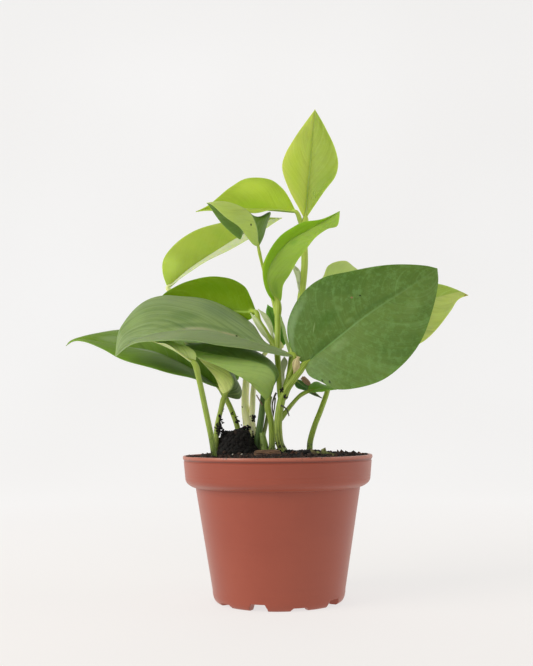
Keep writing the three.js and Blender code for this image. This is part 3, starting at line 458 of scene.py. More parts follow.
def leafMaterial(name, look):
    # The side veins follow lines of equal "phase": the share along the leaf, less a share that grows
    # with the way out to the margin. Streaks are noise drawn out along those lines.
    material, tree = newMaterial(name, 0.42, Subsurface_Weight=look["glow"], Subsurface_Scale=0.0016,
                                 Subsurface_Radius=(0.75, 1, 0.2), Specular_IOR_Level=look["shine"])
    uvMap = tree.nodes.new("ShaderNodeUVMap")
    uvMap.uv_map = "surface"
    surface = uvMap.outputs[0]
    sideways, along, _ = split(surface)
    across = times(maths("ABSOLUTE", maths("SUBTRACT", sideways, 0.5)), 2)
    here = place(tree)
    cloudy = noise(here, 28, 4)
    wander = times(maths("SUBTRACT", noise(here, 30, 1), 0.5), 0.04)
    pushed = times(maths("POWER", across, 1.25), -look["lean"])
    phase = maths("ADD", maths("ADD", along, pushed), wander)
    rightSide = fade(sideways, 0.49, 0.51)

    def streaks(count, drawnOut, detail):
        drawn = {0: times(phase, count), 1: times(across, drawnOut), 2: times(rightSide, 7.3)}
        return noise(addNode("CombineXYZ", drawn)[0], 1, detail, 0.6)

    broad = streaks(look["veins"] * 1.6, 0.7, 2)
    fine = streaks(look["veins"] * 8, 1.4, 3)
    show = look["veinShow"]
    fineShow = show * look["fineShow"]
    dark, rib = look["dark"], look["rib"]
    colour = coats(
        # on some leaves the two halves' tones paint light shining through one half and shade on the other, as
        # noted in the leaf list
        blend(rightSide, look["top"], look["rightHalfToneAndPaintedLight"]),
        (fade(cloudy, 0.38, 0.7, 0, look["cloudShow"]), dark),
        (fade(broad, 0.5, 0.3, 0, show), dark),
        (fade(broad, 0.52, 0.75, 0, show * 1.3), rib),
        (fade(fine, 0.5, 0.7, 0, fineShow * 1.6), rib),
        (fade(fine, 0.48, 0.3, 0, fineShow * 1.2), dark),
        (fade(noise(here, 260, 4, 0.65), 0.45, 0.66, 0, look["mottle"]), rib))
    for u, v, halfU, halfV, turn, code, strength in look["marks"]:
        spot = oval(surface, (u, v), (halfU, halfV), turn, 0.35 if strength > 0.75 else 0.8)
        colour = blend(times(spot, strength), colour, code)
    ribShow = times(fade(kept(tree, "fromRib"), 0.9, 0.35), fade(along, 1.0, 0.1, 0.05, look["ribShow"]))
    flecks = times(spots(here, 160, 0.07), fade(noise(here, 18, 1), 0.57, 0.62, 0, 0.3))
    colour = coats(
        colour, (ribShow, rib), (fade(kept(tree, "toEdge"), 0.5, 0.15, 0, look["edgeShow"]), look["edge"]),
        (times(kept(tree, "under"), 0.4), "9fb878"), (flecks, "4a5526"))
    height = maths("ADD", maths("ADD", broad, times(fine, 0.6)), times(noise(here, 900, 2), 0.25))
    return finish(material, colour, fade(broad, 0.3, 0.7, 0.42, 0.52), height, 0.00016)


def bladeSurface(leaf):
    # Middle surface of a blade. Each row runs from the left margin over the spine to the right one,
    # all three lines read at the same share of their length. A half leaves the straight line between
    # spine and margin by arch * width * 4 s (1 - s), where s is the share of the way out, and the
    # columns crowd towards the spine.
    base, tip = leaf["spine"][0], leaf["spine"][-1]
    v = np.linspace(0, 1, leaf["rows"])
    near = np.clip(v, blade["endShare"], 1 - blade["endShare"])
    spine = alongCurve(leaf["spine"], v)
    lines = [[base, *leaf[side], tip] for side in ("left", "right")]
    margins = [alongCurve(line, v) for line in lines]
    direction = unit(np.gradient(spine, axis=0))
    sideways = alongCurve(lines[1], near) - alongCurve(lines[0], near)
    sideways = unit(sideways - direction * np.sum(sideways * direction, axis=1, keepdims=True))
    s = np.linspace(0, 1, leaf["halfColumns"] + 1) ** blade["crowding"]
    u = np.concatenate([-s[:0:-1], s])
    hand = np.sign(u)[None, :, None]
    reach = np.where(hand < 0, (margins[0] - spine)[:, None], (margins[1] - spine)[:, None])
    width = np.linalg.norm(reach, axis=2, keepdims=True)
    out = np.abs(u)[None, :, None]
    swell = unit(np.cross(reach, direction[:, None])) * hand
    least = (blade["baseHalfWidth"] + (blade["tipHalfWidth"] - blade["baseHalfWidth"]) * v)[:, None, None]
    middle = (spine[:, None] + reach * out + swell * leaf["arch"] * width * 4 * out * (1 - out)
              + sideways[:, None] * hand * out * np.maximum(0, least - width))
    return middle, np.maximum(width, least)[..., 0], u, v


def bladeNormals(middle):
    return unit(np.cross(np.gradient(middle, axis=1), np.gradient(middle, axis=0)))


def closedSheet(middle, upper, lower, u, v):
    # Two faces at the given heights over the middle surface, joined round the edge. The order of the
    # vertices is the upper grid, then the lower one. Both faces share one map.
    normals = bladeNormals(middle)
    rows, columns = middle.shape[:2]
    top = middle + normals * upper[..., None]
    bottom = middle - normals * lower[..., None]
    vertices = np.concatenate([top.reshape(-1, 3), bottom.reshape(-1, 3)])
    count = rows * columns
    index = np.arange(count).reshape(rows, columns)
    ring = np.concatenate([index[0, :-1], index[:-1, -1], index[-1, :0:-1], index[:0:-1, 0]])
    after = np.roll(ring, -1)
    faces = gridFaces(rows, columns)
    faces += [face[::-1] for face in gridFaces(rows, columns, start=count)]
    faces += np.stack([ring, ring + count, after + count, after], 1).tolist()
    uv = together((u[None, :] + 1) / 2, v[:, None]).reshape(-1, 2)
    return vertices, faces, np.tile(uv, (2, 1))


def addLeaf(leaf):
    leaf = {**plainLeaf, "rightHalfToneAndPaintedLight": leaf["top"], "edge": leaf["rib"], **leaf}
    name = leaf["name"]
    middle, width, u, v = bladeSurface(leaf)
    out = np.abs(u)[None, :]
    fromRib = out * width
    toEdge = (1 - out) * width
    # between the side veins the blade puffs up a little, and near the margin it waves
    phase = v[:, None] - leaf["lean"] * out ** 1.25
    inside = smoothStep(fromRib, 0.5, 4) * smoothStep(toEdge, 0, 4)
    puff = blade["puff"] * np.cos(2 * np.pi * phase * leaf["veins"]) * inside
    seed = sum(map(ord, name))
    wave = blade["wave"] * out ** 3 * np.sin(np.pi * v[:, None]) * np.sin(
        (17 + seed % 5) * v[:, None] + seed + np.where(u < 0, 0, 2)[None, :])
    middle = middle + bladeNormals(middle) * (puff + wave)[..., None]
    fromEdge = smoothStep(toEdge, 0, blade["edgeWidth"])
    thick = blade["edgeThick"] + (blade["thick"] - blade["edgeThick"]) * fromEdge
    thinOut = (1 - blade["ribThinning"] * v)[:, None]
    groove = blade["grooveDepth"] * np.exp(-(fromRib / blade["grooveWidth"]) ** 2) * thinOut
    ridge = blade["ribHeight"] * np.exp(-(fromRib / blade["ribWidth"]) ** 2) * thinOut
    vertices, faces, uv = closedSheet(middle, thick / 2 - groove, thick / 2 + ridge, u, v)
    values = {"fromRib": np.tile(fromRib.ravel(), 2), "toEdge": np.tile(toEdge.ravel(), 2),
              "under": np.repeat([0.0, 1.0], u.size * v.size)}
    skin = leafMaterial(name + " skin", leaf)
    newPiece(name + "_blade", vertices, faces, skin, [name], values, uv)


for leaf in leaves:
    addLeaf(leaf)
print("leaves built:", len(leaves))


leafBase = {leaf["name"]: np.array(leaf["spine"][:2], float) for leaf in leaves}
# A run is a tube through its points, with a radius at each end, and one that carries a leaf goes on
# into its base. The skin's tones change at the three levels above the ground.
stems = [
    {"name": "vine", "slot": "stalk", "low": "475024", "skin": "7e982a", "high": "b8cd4d", "pale": "ceda6e",
     "dark": "6f8a34", "levels": (84, 118, 240),
     "runs": [
        {"leaf": "leaf_top", "radii": (2.7, 2.3),
         "points": [(8, -17, 74), (6, -17, 85), (4.5, -17, 91), (1.5, -16.5, 97), (0.5, -16, 105),
                    (0.5, -15.5, 111), (1.5, -15, 118.5), (3, -14.5, 125), (5, -13.5, 130), (8, -12, 138.5),
                    (9.5, -10, 148), (11, -7.5, 157), (15, 2, 183), (19, 8, 213), (19, 10, 239)]},
        {"leaf": "leaf_upper_left", "radii": (1.6, 1.3),
         "points": [(19, 10, 236), (17, 10, 242)]},
        {"leaf": "leaf_broad_left", "radii": (2.1, 1.6),
         "points": [(8, -13, 139), (10, -16, 145)]},
        {"leaf": "leaf_big_right", "radii": (2.5, 2.2),
         "points": [(3.5, -14.5, 126), (6.5, -16, 132), (10, -17, 136.5), (13.5, -18, 141.5)]},
        {"leaf": "leaf_small_right", "radii": (1.5, 1.2),
         "points": [(2, -14, 112.5), (5.5, -12, 117), (10, -9, 122.5), (15, -6, 127.5)]},
        {"leaf": "leaf_arched", "radii": (1.9, 2.2),
         "points": [(3, -13.5, 124), (2, -11, 130), (1.5, -8, 138), (1, -5, 146.5), (0.5, -2, 155),
                    (1, 3, 176)]},
        {"leaf": "leaf_hooded", "radii": (1.1, 1),
         "points": [(0, 3, 180), (-2, 8, 190), (-7, 9, 207)]},
        {"leaf": "leaf_middle_left", "radii": (1.9, 1.6),
         "points": [(0, 0, 157.5), (-3.5, 2, 163), (-7.5, 3, 170), (-11.5, 3.5, 176.5)]},
        {"leaf": "leaf_behind_right", "radii": (1.3, 1.1),
         "points": [(16, 4, 184), (19, 12, 188)]},
        {"leaf": "leaf_dark_back", "radii": (1.2, 1),
         "points": [(4, -14, 127), (7, 2, 138), (9, 10, 141)]}]},
    {"name": "stalk_pale", "slot": "stalk_pale", "low": "a3ad5f", "skin": "f5f3b5", "high": "e5eb98",
     "pale": "f6f6dd", "dark": "c5ce7b", "levels": (90, 100, 170),
     "runs": [
        {"leaf": "leaf_back_left", "radii": (3, 1.6), "flare": (0.45, 36),
         "points": [(-11, 3, 72), (-12.5, 3, 86), (-14, 3, 94), (-16.5, 4, 100), (-18.5, 4, 105),
                    (-19.5, 6, 111.5), (-20.5, 10, 118), (-21, 17, 125), (-22, 36, 160), (-35, 44, 178),
                    (-56, 46, 194)]},
        {"leaf": "leaf_small_back", "radii": (2.2, 1.4), "flare": (0.9, 26),
         "points": [(-9.5, 4, 80), (-9.5, 4, 92), (-12, 4, 98), (-15, 5, 103.5), (-16.5, 6, 111.5),
                    (-16, 8, 121), (-15.5, 11, 131), (-14, 13, 141), (-11.5, 14, 149.5), (-6.5, 14, 157),
                    (-2, 13.5, 160)]}]},
    {"name": "stalk_left_front", "slot": "stalk", "low": "4d6722", "skin": "88a139", "high": "92aa3e",
     "pale": "b6c165", "dark": "55752e", "levels": (90, 112, 140),
     "runs": [
        {"leaf": "leaf_low_front", "radii": (1.9, 1.7),
         "points": [(-37, -29, 76), (-39.5, -31, 99), (-42.5, -34, 115), (-46.5, -40, 136)]}]},
    {"name": "stalk_left", "slot": "stalk", "low": "516724", "skin": "8da23c", "high": "97ac41",
     "pale": "b9c269", "dark": "58762f", "levels": (90, 106, 130),
     "runs": [
        {"leaf": "leaf_cup", "radii": (1.8, 1.6),
         "points": [(-39, -10, 78), (-38, -10, 107), (-36, -8, 117)]}]},
    {"name": "stalk_left_back", "slot": "stalk", "low": "5c7127", "skin": "8aa035", "high": "93a93c",
     "pale": "b6c165", "dark": "587630", "levels": (90, 108, 130),
     "runs": [
        {"leaf": "leaf_long_left", "radii": (1.9, 1.7),
         "points": [(-23, 5, 78), (-24.5, 5, 98.5), (-25.5, 6, 106.5), (-28.5, 7, 116), (-32, 8, 124)]}]},
    {"name": "stalk_front", "slot": "stalk", "low": "5e7527", "skin": "88a035", "high": "92a93c",
     "pale": "b6c165", "dark": "5b7a31", "levels": (90, 106, 125),
     "runs": [
        {"leaf": "leaf_front", "radii": (2.2, 1.9),
         "points": [(-3.5, -10, 78), (-3.5, -10, 94.5), (-3.5, -10, 105), (-4, -10.5, 111.5),
                    (-5.5, -11, 117.5)]}]},
    {"name": "stalk_right", "slot": "stalk", "low": "607c26", "skin": "90ac33", "high": "a1b749",
     "pale": "bfc968", "dark": "67872f", "levels": (90, 106, 150),
     "runs": [
        {"leaf": "leaf_right_tip", "radii": (2.1, 1.5),
         "points": [(20, 4, 76), (20.5, 4, 92), (21, 5, 98), (24, 6, 108), (28, 9, 117.5), (32, 13, 127.5),
                    (33.5, 15, 132), (42, 22, 154)]}]},
    # stalk_dark: its dark tones are partly its own colour and partly painted shade, as it stands in shade
    # behind the other stalks
    {"name": "stalk_dark", "slot": "leaf_green", "low": "33491d", "skin": "4a682a", "high": "56742f",
     "pale": "6f8a44", "dark": "2f4420", "levels": (90, 104, 125),
     "runs": [
        {"radii": (2.5, 2.1),
         "points": [(-13.5, -3, 80), (-13.5, -3, 94.5), (-12, -3, 103), (-10.5, -3, 111.5), (-9.5, -3, 119),
                    (-8.5, -3, 128)]}]},
]
# thin dead strands, a young shoot and a bud between the stalks, each riding on the vine
twigs = [
    {"name": "shoot_behind", "slot": "stalk", "skin": "7f8f46", "radii": (1.5, 1.1),
     "points": [(-9.5, -2, 88), (-9, -1, 100.5), (-7, 0, 110.5), (-5.5, 1, 119), (-4, 3, 127)]},
    {"name": "bud", "slot": "stalk", "skin": "7c9a3c", "radii": (3.3, 1.9),
     "points": [(-7.5, -6.5, 86), (-8, -7, 94), (-9, -7, 100), (-9.5, -6.5, 104)]},
    {"name": "strand_vine", "slot": "dry_sheath", "skin": "2c2118", "radii": (0.55, 0.4),
     "points": [(-0.4, -11, 129), (-2.2, -10, 125), (-3, -9, 121), (-2.4, -9, 115)]},
    {"name": "strand_dark", "slot": "dry_sheath", "skin": "3a2a1e", "radii": (0.45, 0.3),
     "points": [(-1, -10, 126), (-1.6, -9.5, 120), (-2.8, -9, 112)]},
    {"name": "strand_tip", "slot": "dry_sheath", "skin": "8a6656", "radii": (0.3, 0.45),
     "points": [(-13, -6, 128), (-11.1, -6, 124.7), (-9.3, -5, 121.5)]},
    {"name": "strand_curl", "slot": "dry_sheath", "skin": "1c1712", "radii": (0.5, 0.35),
     "points": [(2.6, -17, 121), (4.4, -18.7, 119.9), (6.2, -19, 118), (7.4, -18, 114.3)]},
    {"name": "twig_right", "slot": "dry_sheath", "skin": "4a3d30", "radii": (0.45, 0.35),
     "points": [(20, 0, 132.5), (22.9, -2, 129), (25.4, -3, 127.6), (28.5, -4, 125.6)]},
]
twigLook = {"pale": "a3ae72", "dark": "3a3020", "levels": (80, 100, 120)}
tube = {"sides": 28, "rowStep": 0.8, "intoLeaf": 5, "flare": (0.22, 7), "knee": 0.16, "kneeDown": 4,
        "kneeLength": 3, "groove": 0.1, "grooveTurn": 0.35, "thinning": 0.75}


def stalkMaterial(name, look):
    # Streaks run lengthwise: noise on the tube's own map, drawn out along it. The skin goes from the
    # low tone near the soil over the middle one to the high one.
    material, tree = newMaterial(name, 0.38, Subsurface_Weight=0.4, Subsurface_Scale=0.0012,
                                 Subsurface_Radius=(0.8, 1, 0.3), Specular_IOR_Level=0.35)
    here = place(tree)
    streaks = noise(place(tree, (26, 0.05, 1), "UV"), 1, 3)
    cloudy = noise(here, 60, 3)
    up = split(here)[2]
    low, middle, high = (level * mm for level in look["levels"])
    dirt = times(fade(noise(here, 420, 4, 0.7), 0.57, 0.61), fade(up, 0.112, 0.088))
    specks = times(spots(here, 330, 0.11), fade(up, 0.14, 0.1, 0.06, 0.5))
    colour = coats(
        blend(fade(up, low, middle), look["low"], look["skin"]), (fade(up, middle, high), look["high"]),
        (fade(streaks, 0.42, 0.66, 0, 0.5), look["pale"]), (fade(streaks, 0.45, 0.3, 0, 0.3), look["dark"]),
        (fade(cloudy, 0.5, 0.75, 0, 0.2), look["dark"]), (dirt, "1d1712"), (specks, "4a4a26"))
    bumps = maths("ADD", times(streaks, 0.7), times(dirt, 0.8))
    return finish(material, colour, fade(cloudy, 0.3, 0.7, 0.34, 0.48), bumps)


def tubeShape(run):
    # A circle carried along the spline, its radius going evenly from one end to the other. It is wider
    # by a dying share where it leaves its parent, swells at the knee under the leaf, and has a shallow
    # groove on the side that faces the leaf; past the leaf's base it thins out under the midrib.
    points = [np.array(p, float) for p in run["points"]]
    beyond = 0
    if run.get("leaf"):
        base, second = leafBase[run["leaf"]]
        beyond = tube["intoLeaf"]
        points += [base, base + unit(second - base) * beyond]
    spans = np.linalg.norm(np.diff(np.array(points), axis=0), axis=1).sum()
    t = np.linspace(0, 1, max(8, int(spans / tube["rowStep"])))
    line = alongCurve(points, t)
    direction = unit(np.gradient(line, axis=0))
    first = unit(np.cross([0, 1, 0], direction))
    second = np.cross(direction, first)
    way = t * spans
    bare = spans - beyond
    thick, thin = run["radii"]
    flare, length = run.get("flare", tube["flare"])
    radius = thick + (thin - thick) * np.clip(way / bare, 0, 1)
    radius = radius * (1 + flare * np.exp(-(way / length) ** 2))
    fromKnee = (way - bare + tube["kneeDown"]) / tube["kneeLength"]
    radius = radius * (1 + tube["knee"] * np.exp(-fromKnee ** 2) * (beyond > 0))
    radius = radius * (1 - tube["thinning"] * smoothStep(way, bare, spans + 0.01))
    angle = circle(tube["sides"])
    grooved = 1 - tube["groove"] * np.exp(-((angle - np.pi) / tube["grooveTurn"]) ** 2)
    size = radius[:, None] * grooved[None, :]
    grid = (line[:, None] + first[:, None] * (size * np.cos(angle))[..., None]
            + second[:, None] * (size * np.sin(angle))[..., None])
    return grid, line, together(angle[None, :] / (2 * np.pi), way[:, None])


def closedTubes(shapes):
    # all tubes of one stem in one mesh, each end closed by a fan round its middle
    vertices, faces, uvs, start = [], [], [], 0
    for grid, line, uv in shapes:
        rows, sides = grid.shape[:2]
        vertices += [grid.reshape(-1, 3), line[:1], line[-1:]]
        uvs += [uv.reshape(-1, 2), uv[0, :1], uv[-1, :1]]
        faces += gridFaces(rows, sides, closed=True, start=start)
        ring = np.arange(sides)
        after = np.roll(ring, -1)
        low = np.full(sides, start + rows * sides)
        top = start + (rows - 1) * sides
        faces += np.stack([low, start + after, start + ring], 1).tolist()
        faces += np.stack([low + 1, top + ring, top + after], 1).tolist()
        start += rows * sides + 2
    return np.concatenate(vertices), faces, np.concatenate(uvs)


for stem in stems:
    vertices, faces, uv = closedTubes([tubeShape(run) for run in stem["runs"]])
    name = stem["name"]
    skin = stalkMaterial(name + " skin", stem)
    newPiece(name + "_skin", vertices, faces, skin, [name], uv=uv)
print("stems built:", len(stems))

for twig in twigs:
    vertices, faces, uv = closedTubes([tubeShape(twig)])
    look = {**twigLook, **dict.fromkeys(("low", "skin", "high"), twig["skin"])}
    newPiece(twig["name"], vertices, faces, stalkMaterial(twig["name"], look), uv=uv)
print("twigs built:", len(twigs))


# papery sheaths, drawn like small blades; the dry ones replace their nodes
sheaths = [
    {"name": "sheath_top", "skin": "d8e2b0",
     "spine": [(16, 3, 194), (14.5, 3, 201), (12, 4, 213)],
     "left": [(13.5, 2, 202.5), (11.5, 3, 210.5)],
     "right": [(16.5, 5, 201.5), (16, 6, 209.5)]},
    {"name": "sheath_middle", "skin": "d3dca8",
     "spine": [(-2, 2, 162), (-3, 3, 169.5), (-6.5, 3.5, 177), (-11.5, 4, 184)],
     "left": [(-4, 3, 169), (-8.5, 3.5, 178)],
     "right": [(-2, 4, 170.5), (-5.5, 4.5, 180)]},
    {"name": "sheath_flange", "skin": "cdd9a0",
     "spine": [(-2.5, 1, 160.5), (-9, 0, 169), (-13.5, 1, 176), (-16.5, 3, 181.5)],
     "left": [(-10, -0.5, 168), (-14.5, 0.5, 175.5)],
     "right": [(-7.5, 1, 169.5), (-12, 1.5, 177.5)]},
    {"name": "sheath_inner", "skin": "8fa85a",
     "spine": [(9, -8, 154.5), (6, -4, 164), (4.5, -1, 172), (2.5, 1.5, 180)],
     "left": [(5, -4, 164), (3.5, -1, 172)],
     "right": [(7, -4, 164), (5.5, -1, 172)]},
    {"name": "sheath_fork", "skin": "c9cfa8",
     "spine": [(4.5, -13, 131), (4, -9.5, 141.5), (5, -7, 152)],
     "left": [(3, -9.5, 141.5), (3, -8, 149)],
     "right": [(5, -9.5, 141.5), (7, -7.5, 149)]},
    {"name": "dry_sheath_node", "slot": "dry_sheath", "arch": 0.15, "skin": "cbbf86", "ribs": "8a6a4c",
     "spine": [(13.5, -20.5, 151), (12.5, -21.5, 146), (10.5, -20, 140.5)],
     "left": [(14.6, -19.5, 148), (14.2, -20, 144)],
     "right": [(10.8, -20, 149), (9.8, -20.5, 144.5)]},
    {"name": "dry_sheath_low", "slot": "dry_sheath", "arch": 0.2, "skin": "b08a74", "ribs": "8a6a4c",
     "spine": [(16, 3, 139), (19.5, 3, 136), (23, 3, 132.5)],
     "left": [(18, 3.5, 140), (21, 3.5, 136.5)],
     "right": [(16, 2.5, 137.5), (19, 2.5, 134.5)]},
]
plainSheath = {"slot": "stalk", "arch": 0, "ribs": "a9bd74", "rows": 40, "halfColumns": 8}


def sheathMaterial(name, skin, ribs):
    material, tree = newMaterial(name, 0.6)
    strands = noise(place(tree, (14, 1.2, 1), "UV"), 1, 3)
    colour = coats(blend(fade(strands, 0.46, 0.68), skin, ribs),
                   (fade(noise(place(tree), 260, 3), 0.6, 0.75, 0, 0.4), "5c4630"))
    return finish(material, colour, fade(strands, 0.3, 0.7, 0.5, 0.7), strands, 0.0003)


def addSheath(sheath):
    # a small thin blade whose edges curl by a slow wave
    dry = sheath["slot"] == "dry_sheath"
    name = sheath["name"] + ("_skin" if dry else "")
    middle, _, u, v = bladeSurface(sheath)
    curl = blade["curl"] * np.abs(u)[None, :] ** 2 * np.sin(9 * v[:, None] + 4 * u[None, :])
    middle = middle + bladeNormals(middle) * curl[..., None]
    half = np.full(middle.shape[:2], blade["sheathThick"] / 2)
    vertices, faces, uv = closedSheet(middle, half, half, u, v)
    skin = sheathMaterial(name, sheath["skin"], sheath["ribs"])
    newPiece(name, vertices, faces, skin, [sheath["name"]] if dry else (), uv=uv)


for sheath in sheaths:
    addSheath({**plainSheath, **sheath})
print("sheaths built:", len(sheaths))


pot = {
    "height": 90, "rimRadius": 60, "bandHeight": 15, "bandBottomRadius": 58.4, "bodyTopRadius": 52,
    "bodyBottomRadius": 41.6, "footRadius": 39, "footWidth": 4.5, "footHeight": 7, "shoulderHeight": 4.8,
    "lipWidth": 2.1, "lipHeight": 2, "lipOverhang": 0.4, "edge": 0.5, "wall": 1.2, "floorUnderside": 4.6,
    "floorThickness": 1.6, "floorCorner": 3, "bossRadius": 7, "lugs": 10, "notchWidth": 11.5,
    "notchTopWidth": 8.5, "notchDepths": (4.2, 1.9), "drainHoles": 5, "drainRadius": 4, "drainCircle": 22,
    "drillHeights": (1, 9), "drillSides": 32, "columns": 300,
    "skin": "943e26", "light": "9c462d", "dark": "813420",
    "shoulder": ((0, 0), (0.3, 0.1), (0.62, 0.34), (0.88, 0.66), (1, 1)),  # shares of the way out and up
    # two faint grooves low on the band, and a sharper one under the lip: height over its foot, step out
    "bandSteps": ((0.8, 0.02), (1.3, -0.07), (1.7, 0.02), (2.9, 0.02), (3.3, -0.06), (3.8, 0.01), (5, 0),
                  (11.4, 0), (11.7, -0.35), (12.2, -0.35)),
}


def potMaterial():
    material, tree = newMaterial("pot plastic", 0.38, Specular_IOR_Level=0.6, Sheen_Weight=0.22,
                                 Sheen_Roughness=0.45, Sheen_Tint=(1, 0.72, 0.6, 1))
    here = place(tree)
    cloudy = noise(here, 14, 4)
    streaks = noise(place(tree, (30, 30, 260)), 1, 3)
    height = split(here)[2]
    # a painted highlight along the top of the lip, and a painted shade line under the lip
    lipHighlight = times(fade(height, 0.0882, 0.0888), fade(height, 0.0903, 0.0897))
    underLipShade = times(fade(height, 0.0867, 0.0872), fade(height, 0.0881, 0.0876))
    dust = times(fade(noise(here, 380, 4, 0.7), 0.6, 0.66), fade(height, 0.0862, 0.0895))
    scuffs = fade(noise(place(tree, (240, 240, 90)), 1, 4), 0.74, 0.8, 0, 0.1)
    colour = coats(
        blend(fade(cloudy, 0.3, 0.7), pot["skin"], pot["light"]),
        (fade(streaks, 0.45, 0.75, 0, 0.08), pot["dark"]), (times(lipHighlight, 0.3), "d08a70"),
        (times(underLipShade, 0.55), "4c1f12"), (times(dust, 0.85), "3a2c22"), (scuffs, "c07a64"))
    grain = maths("ADD", noise(here, 1500, 2), times(streaks, 0.5))
    return finish(material, colour, fade(cloudy, 0.3, 0.7, 0.34, 0.44), grain, 0.00005)


def potProfile():
    # radius and height from the middle of the underside, out over the foot, up the outside, over the
    # lip and down the inside to the middle of the floor
    p = SimpleNamespace(**pot)
    bandBottom = p.height - p.bandHeight
    bodyTop = bandBottom - p.shoulderHeight
    floorTop = p.floorUnderside + p.floorThickness
    footInside = p.footRadius - p.footWidth
    under = [(0.01, 0), (p.bossRadius - 0.2, 0), (p.bossRadius, 0.2),
             (p.bossRadius + p.edge, p.floorUnderside), (footInside - p.edge, p.floorUnderside),
             (footInside, 0.2), (footInside + 0.2, 0)]
    corner = np.linspace(0, np.pi / 2, 9)
    foot = np.stack([p.footRadius - p.edge + (p.bodyBottomRadius - p.footRadius + p.edge) * np.sin(corner),
                     p.footHeight * (1 - np.cos(corner))], 1).tolist()
    up = np.linspace(0, 1, 14)[1:-1]
    body = np.stack([p.bodyBottomRadius + (p.bodyTopRadius - p.bodyBottomRadius) * up,
                     p.footHeight + (bodyTop - p.footHeight) * up], 1).tolist()
    low, high = np.array([p.bodyTopRadius, bodyTop]), np.array([p.bandBottomRadius, bandBottom])
    turning = [low + (high - low) * share for share in p.shoulder]
    shoulder = alongCurve(np.insert(turning, 1, 0, axis=1), np.linspace(0, 1, 14))[:, [0, 2]].tolist()
    lipFoot = (p.rimRadius - p.lipOverhang, p.height - p.lipHeight - p.edge)
    rise, step = np.array(p.bandSteps).T
    t = rise / (lipFoot[1] - bandBottom)
    band = np.stack([p.bandBottomRadius + (lipFoot[0] - p.bandBottomRadius) * t + step, bandBottom + rise], 1)
    r, h = p.rimRadius, p.height
    lip = [lipFoot, (r - 0.15, h - p.lipHeight + 0.05), (r, h - p.lipHeight + 0.35), (r, h - 0.6),
           (r - 0.16, h - 0.2), (r - p.edge, h), (r - p.lipWidth + 0.3, h), (r - p.lipWidth, h - 0.25)]
    inside = [(p.bandBottomRadius - p.wall, bandBottom), (p.bodyTopRadius - p.wall, bodyTop + p.wall),
              (p.bodyBottomRadius - p.wall, p.footHeight), (p.bodyBottomRadius - p.floorCorner, floorTop),
              (0.01, floorTop)]
    return np.array(under + foot + body + shoulder + band.tolist() + lip + inside)


def notchHeight(angle):
    # height of the foot's lower edge round the pot: deep and shallow notches with sloping sides
    step = 2 * np.pi / pot["lugs"]
    turn = (angle + np.pi / 2) / step - 0.5
    nearest = np.round(turn)
    distance = np.abs(turn - nearest) * step * pot["footRadius"]
    depth = np.where(nearest.astype(int) % 2 == 0, pot["notchDepths"][1], pot["notchDepths"][0])
    return depth * smoothStep(-distance, -pot["notchWidth"] / 2, -pot["notchTopWidth"] / 2)


def addPot():
    profile = potProfile()
    angle = circle(pot["columns"])
    radius, height = profile[:, :1], profile[:, 1:]
    onFoot = radius > pot["footRadius"] - pot["footWidth"] - pot["edge"]
    z = np.maximum(height, np.where(onFoot, notchHeight(angle)[None, :], 0))
    grid = together(radius * np.cos(angle), radius * np.sin(angle), z)
    vertices, faces, _ = closedTubes([(grid, np.array([[0, 0, 0], [0, 0, profile[-1, 1]]]), grid[..., :2])])
    cutDrainHoles(newPiece("pot_shell", vertices, faces, potMaterial(), ["pot"], sharp=32))


def cutDrainHoles(piece):
    # round holes through the floor, on one circle
    angle = circle(pot["drillSides"])
    for turn in circle(pot["drainHoles"]):
        x = pot["drainCircle"] * np.cos(turn) + pot["drainRadius"] * np.cos(angle)
        y = pot["drainCircle"] * np.sin(turn) + pot["drainRadius"] * np.sin(angle)
        grid = together(x[None, :], y[None, :], np.array(pot["drillHeights"])[:, None])
        vertices, faces, _ = closedTubes([(grid, grid.mean(axis=1), grid[..., :2])])
        mesh = bpy.data.meshes.new("drill")
        mesh.from_pydata((vertices * mm).tolist(), [], faces)
        drill = addObject("drill", mesh)
        cut = piece.modifiers.new("drain", "BOOLEAN")
        cut.operation = "DIFFERENCE"
        cut.object = drill
        bpy.context.view_layer.update()
        shaped = piece.evaluated_get(bpy.context.evaluated_depsgraph_get())
        cutMesh = bpy.data.meshes.new_from_object(shaped)
        piece.modifiers.clear()
        piece.data = cutMesh
        bpy.data.objects.remove(drill)


addPot()
print("pot built")


soil = {
    "edge": 88.4, "crown": 3, "radius": 57.3, "rings": 110, "columns": 260, "crumbs": 3600, "perlite": 45,
    "lowerRings": ((38.3, 6.5), (40.1, 7.3), (50.5, 71.7), (56.9, 75.3)),  # radius and height, in the pot
    "mound": {"x": -26.8, "y": -3, "height": 13, "across": 11.6, "deep": 12.5, "steepness": 3,
              "lumps": 2400, "chunks": 0.9},
    "waves": (9, 6, 4, 3, 2.2, 1.6, 1.2), "wavesEach": 3, "waveHeight": 0.055, "lipMargin": 1.2,
    "crumbSizes": (0.25, 2.2), "perliteSizes": (0.4, 0.95), "cornerPull": (0.5, 1.35),
    "skin": "0c0a08", "brown": "1a130e", "earth": "4f3629", "black": "040303", "white": "d8d4c8",
}


def soilLevel(x, y):
    # crown that falls off to the wall, plus a heap with a flat top, as on the solid; crossed waves
    # break its top into chunks
    m = soil["mound"]
    crown = soil["crown"] * (1 - (x * x + y * y) / soil["radius"] ** 2)
    away = ((x - m["x"]) / m["across"]) ** 2 + ((y - m["y"]) / m["deep"]) ** 2
    heap = np.exp(-(away ** m["steepness"]))
    chunks = m["chunks"] * np.sin(1.9 * x + 2 * np.sin(1.1 * y)) * np.sin(1.6 * y + 1.5 * np.sin(1.3 * x))
    return soil["edge"] + crown + heap * (m["height"] + chunks)


